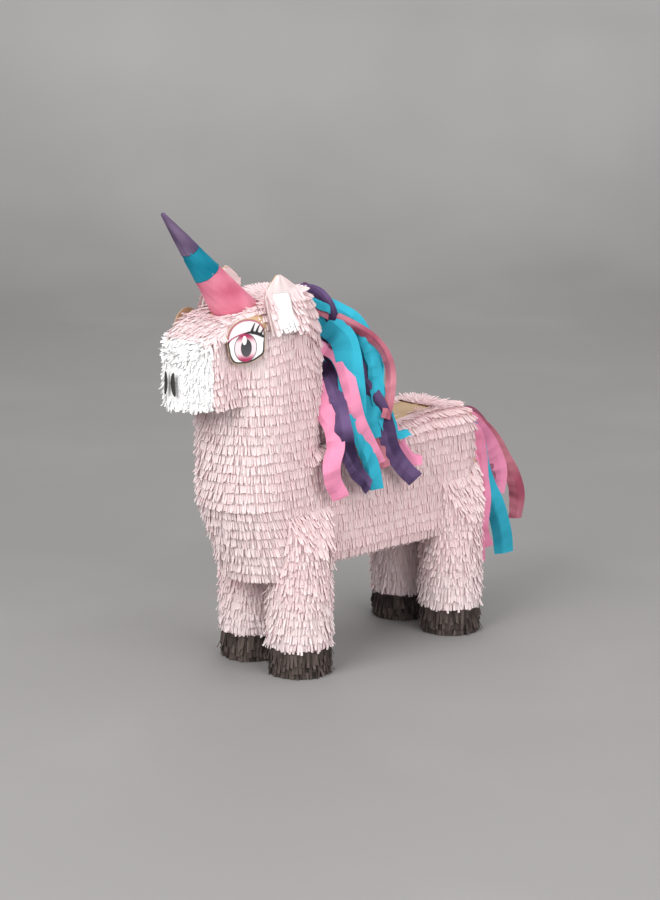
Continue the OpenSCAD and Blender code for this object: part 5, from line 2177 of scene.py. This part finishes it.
@dataclass
class Studio:
    """A plain pale floor, soft lights and the camera."""

    distance: float = 2.5
    azimuth: float = 48.0
    elevation: float = 12.9
    aim: tuple[float, float, float] = (41.8 * MM, -77.6 * MM, 248.9 * MM)
    lens: float = 89.04
    sensor: float = 36.0
    floor_size: float = 40.0
    backdrop_from: float = 2.2
    backdrop_bend: float = 1.2
    backdrop_rise: float = 4.0
    floor_shaded_colour: tuple[float, float, float] = (0.265, 0.258, 0.253)
    backdrop_lit_colour: tuple[float, float, float] = (0.74, 0.73, 0.72)
    air_colour: tuple[float, float, float, float] = (0.92, 0.93, 0.95, 1.0)
    air_strength: float = 0.52
    lights: tuple[tuple, ...] = (("key_light", (0.4, -2.2, 1.7), 1.5, 53.0, 0.02),
        ("side_light", (2.5, -0.1, 1.3), 1.8, 40.0, 0.02),
        ("back_light", (-1.8, 1.8, 1.8), 1.6, 18.0, 0.0), ("top_light", (0.3, 0.1, 2.4), 1.8, 15.0, 0.0))

    def floor(self) -> None:
        """A wide pale floor that curves up behind, with painted shade on the floor and painted light up the
        backdrop.
        """
        size, start, bend = self.floor_size, self.backdrop_from, self.backdrop_bend
        profile = [(-size, 0.0), (start, 0.0)]
        for a in np.linspace(0, math.pi / 2, 16):
            profile.append((start + bend * math.sin(a), bend - bend * math.cos(a)))
        profile.append((start + bend, self.backdrop_rise))
        points = []
        for x in (-size, size):
            points += [(x, y, z) for y, z in profile]
        n = len(profile)
        faces = [(i, i + n, i + n + 1, i + 1) for i in range(n - 1)]
        mesh = bpy.data.meshes.new("studio_floor")
        mesh.from_pydata(points, [], faces)
        mesh.polygons.foreach_set("use_smooth", [True] * len(faces))
        f = Finishing("studio_paper")
        grain = f.noise(0.4, 2.0)
        place = f.add("ShaderNodeTexCoord").outputs["Object"]
        height = Value(f, f.add("ShaderNodeSeparateXYZ", {}, {0: place}).outputs[2])
        # Painted light: the paper is darker on the floor and paler up the backdrop, graded by height, for
        # how the lamps fall on it; the grain is the paper's own.
        share = (height * 0.9 + (grain - 0.5) * 0.2).clamped()
        colour = f.mixed(share, self.floor_shaded_colour, self.backdrop_lit_colour)
        mesh.materials.append(f.finish(f.paper({"Base Color": colour, "Roughness": 0.85})))
        floor = bpy.data.objects.new("studio_floor", mesh)
        bpy.context.scene.collection.objects.link(floor)
        floor.rotation_euler = (0.0, 0.0, math.radians(self.azimuth))

    def light(self, name: str, place: tuple[float, float, float], size: float, power: float,
            warmth: float) -> None:
        """One soft square light aimed at the pinata.

        Args:
            name: Its name.
            place: Where it stands.
            size: Its width.
            power: Its power in watts.
            warmth: How far its blue falls below its red.
        """
        data = bpy.data.lights.new(name, "AREA")
        data.shape = "SQUARE"
        data.size = size
        data.energy = power
        data.color = (1.0, 1.0 - warmth / 2, 1.0 - warmth)
        lamp = bpy.data.objects.new(name, data)
        bpy.context.scene.collection.objects.link(lamp)
        lamp.location = place
        lamp.rotation_euler = (Vector((0.0, -0.05, 0.22)) - Vector(place)).to_track_quat("-Z",
            "Y").to_euler()

    def build(self) -> None:
        """Sets the studio up."""
        self.floor()
        for light in self.lights:
            self.light(*light)
        world = bpy.data.worlds.new("studio_air")
        bpy.context.scene.world = world
        bpy.context.scene.view_settings.view_transform = "Standard"
        world.use_nodes = True
        air = world.node_tree.nodes["Background"]
        air.inputs["Color"].default_value = self.air_colour
        air.inputs["Strength"].default_value = self.air_strength
        a, e = math.radians(self.azimuth), math.radians(self.elevation)
        back = Vector((math.sin(a) * math.cos(e), -math.cos(a) * math.cos(e), math.sin(e)))
        data = bpy.data.cameras.new("camera")
        data.lens = self.lens
        data.sensor_fit = "VERTICAL"
        data.sensor_height = self.sensor
        camera = bpy.data.objects.new("camera", data)
        bpy.context.scene.collection.objects.link(camera)
        camera.location = Vector(self.aim) + back * self.distance
        camera.rotation_euler = back.to_track_quat("Z", "Y").to_euler()
        bpy.context.scene.camera = camera


def main() -> None:
    """Builds the pinata, sub-assembly by sub-assembly."""
    logging.basicConfig(level=logging.INFO, format="%(message)s")
    form = Form.measured()
    Studio().build()
    HeadAndNeck(form).build(np.random.default_rng(11))
    Barrel(form).build(np.random.default_rng(12))
    Legs(form).build(np.random.default_rng(13))
    Horn(form).build()
    for side in (1, -1):
        Ear(form, side).build(np.random.default_rng(20 + side))
        Eye(form, side).build()
    Nostrils(form).build()
    ManeAndTail(form).build()
    CardShell().dress()


if __name__ == "__main__":
    main()
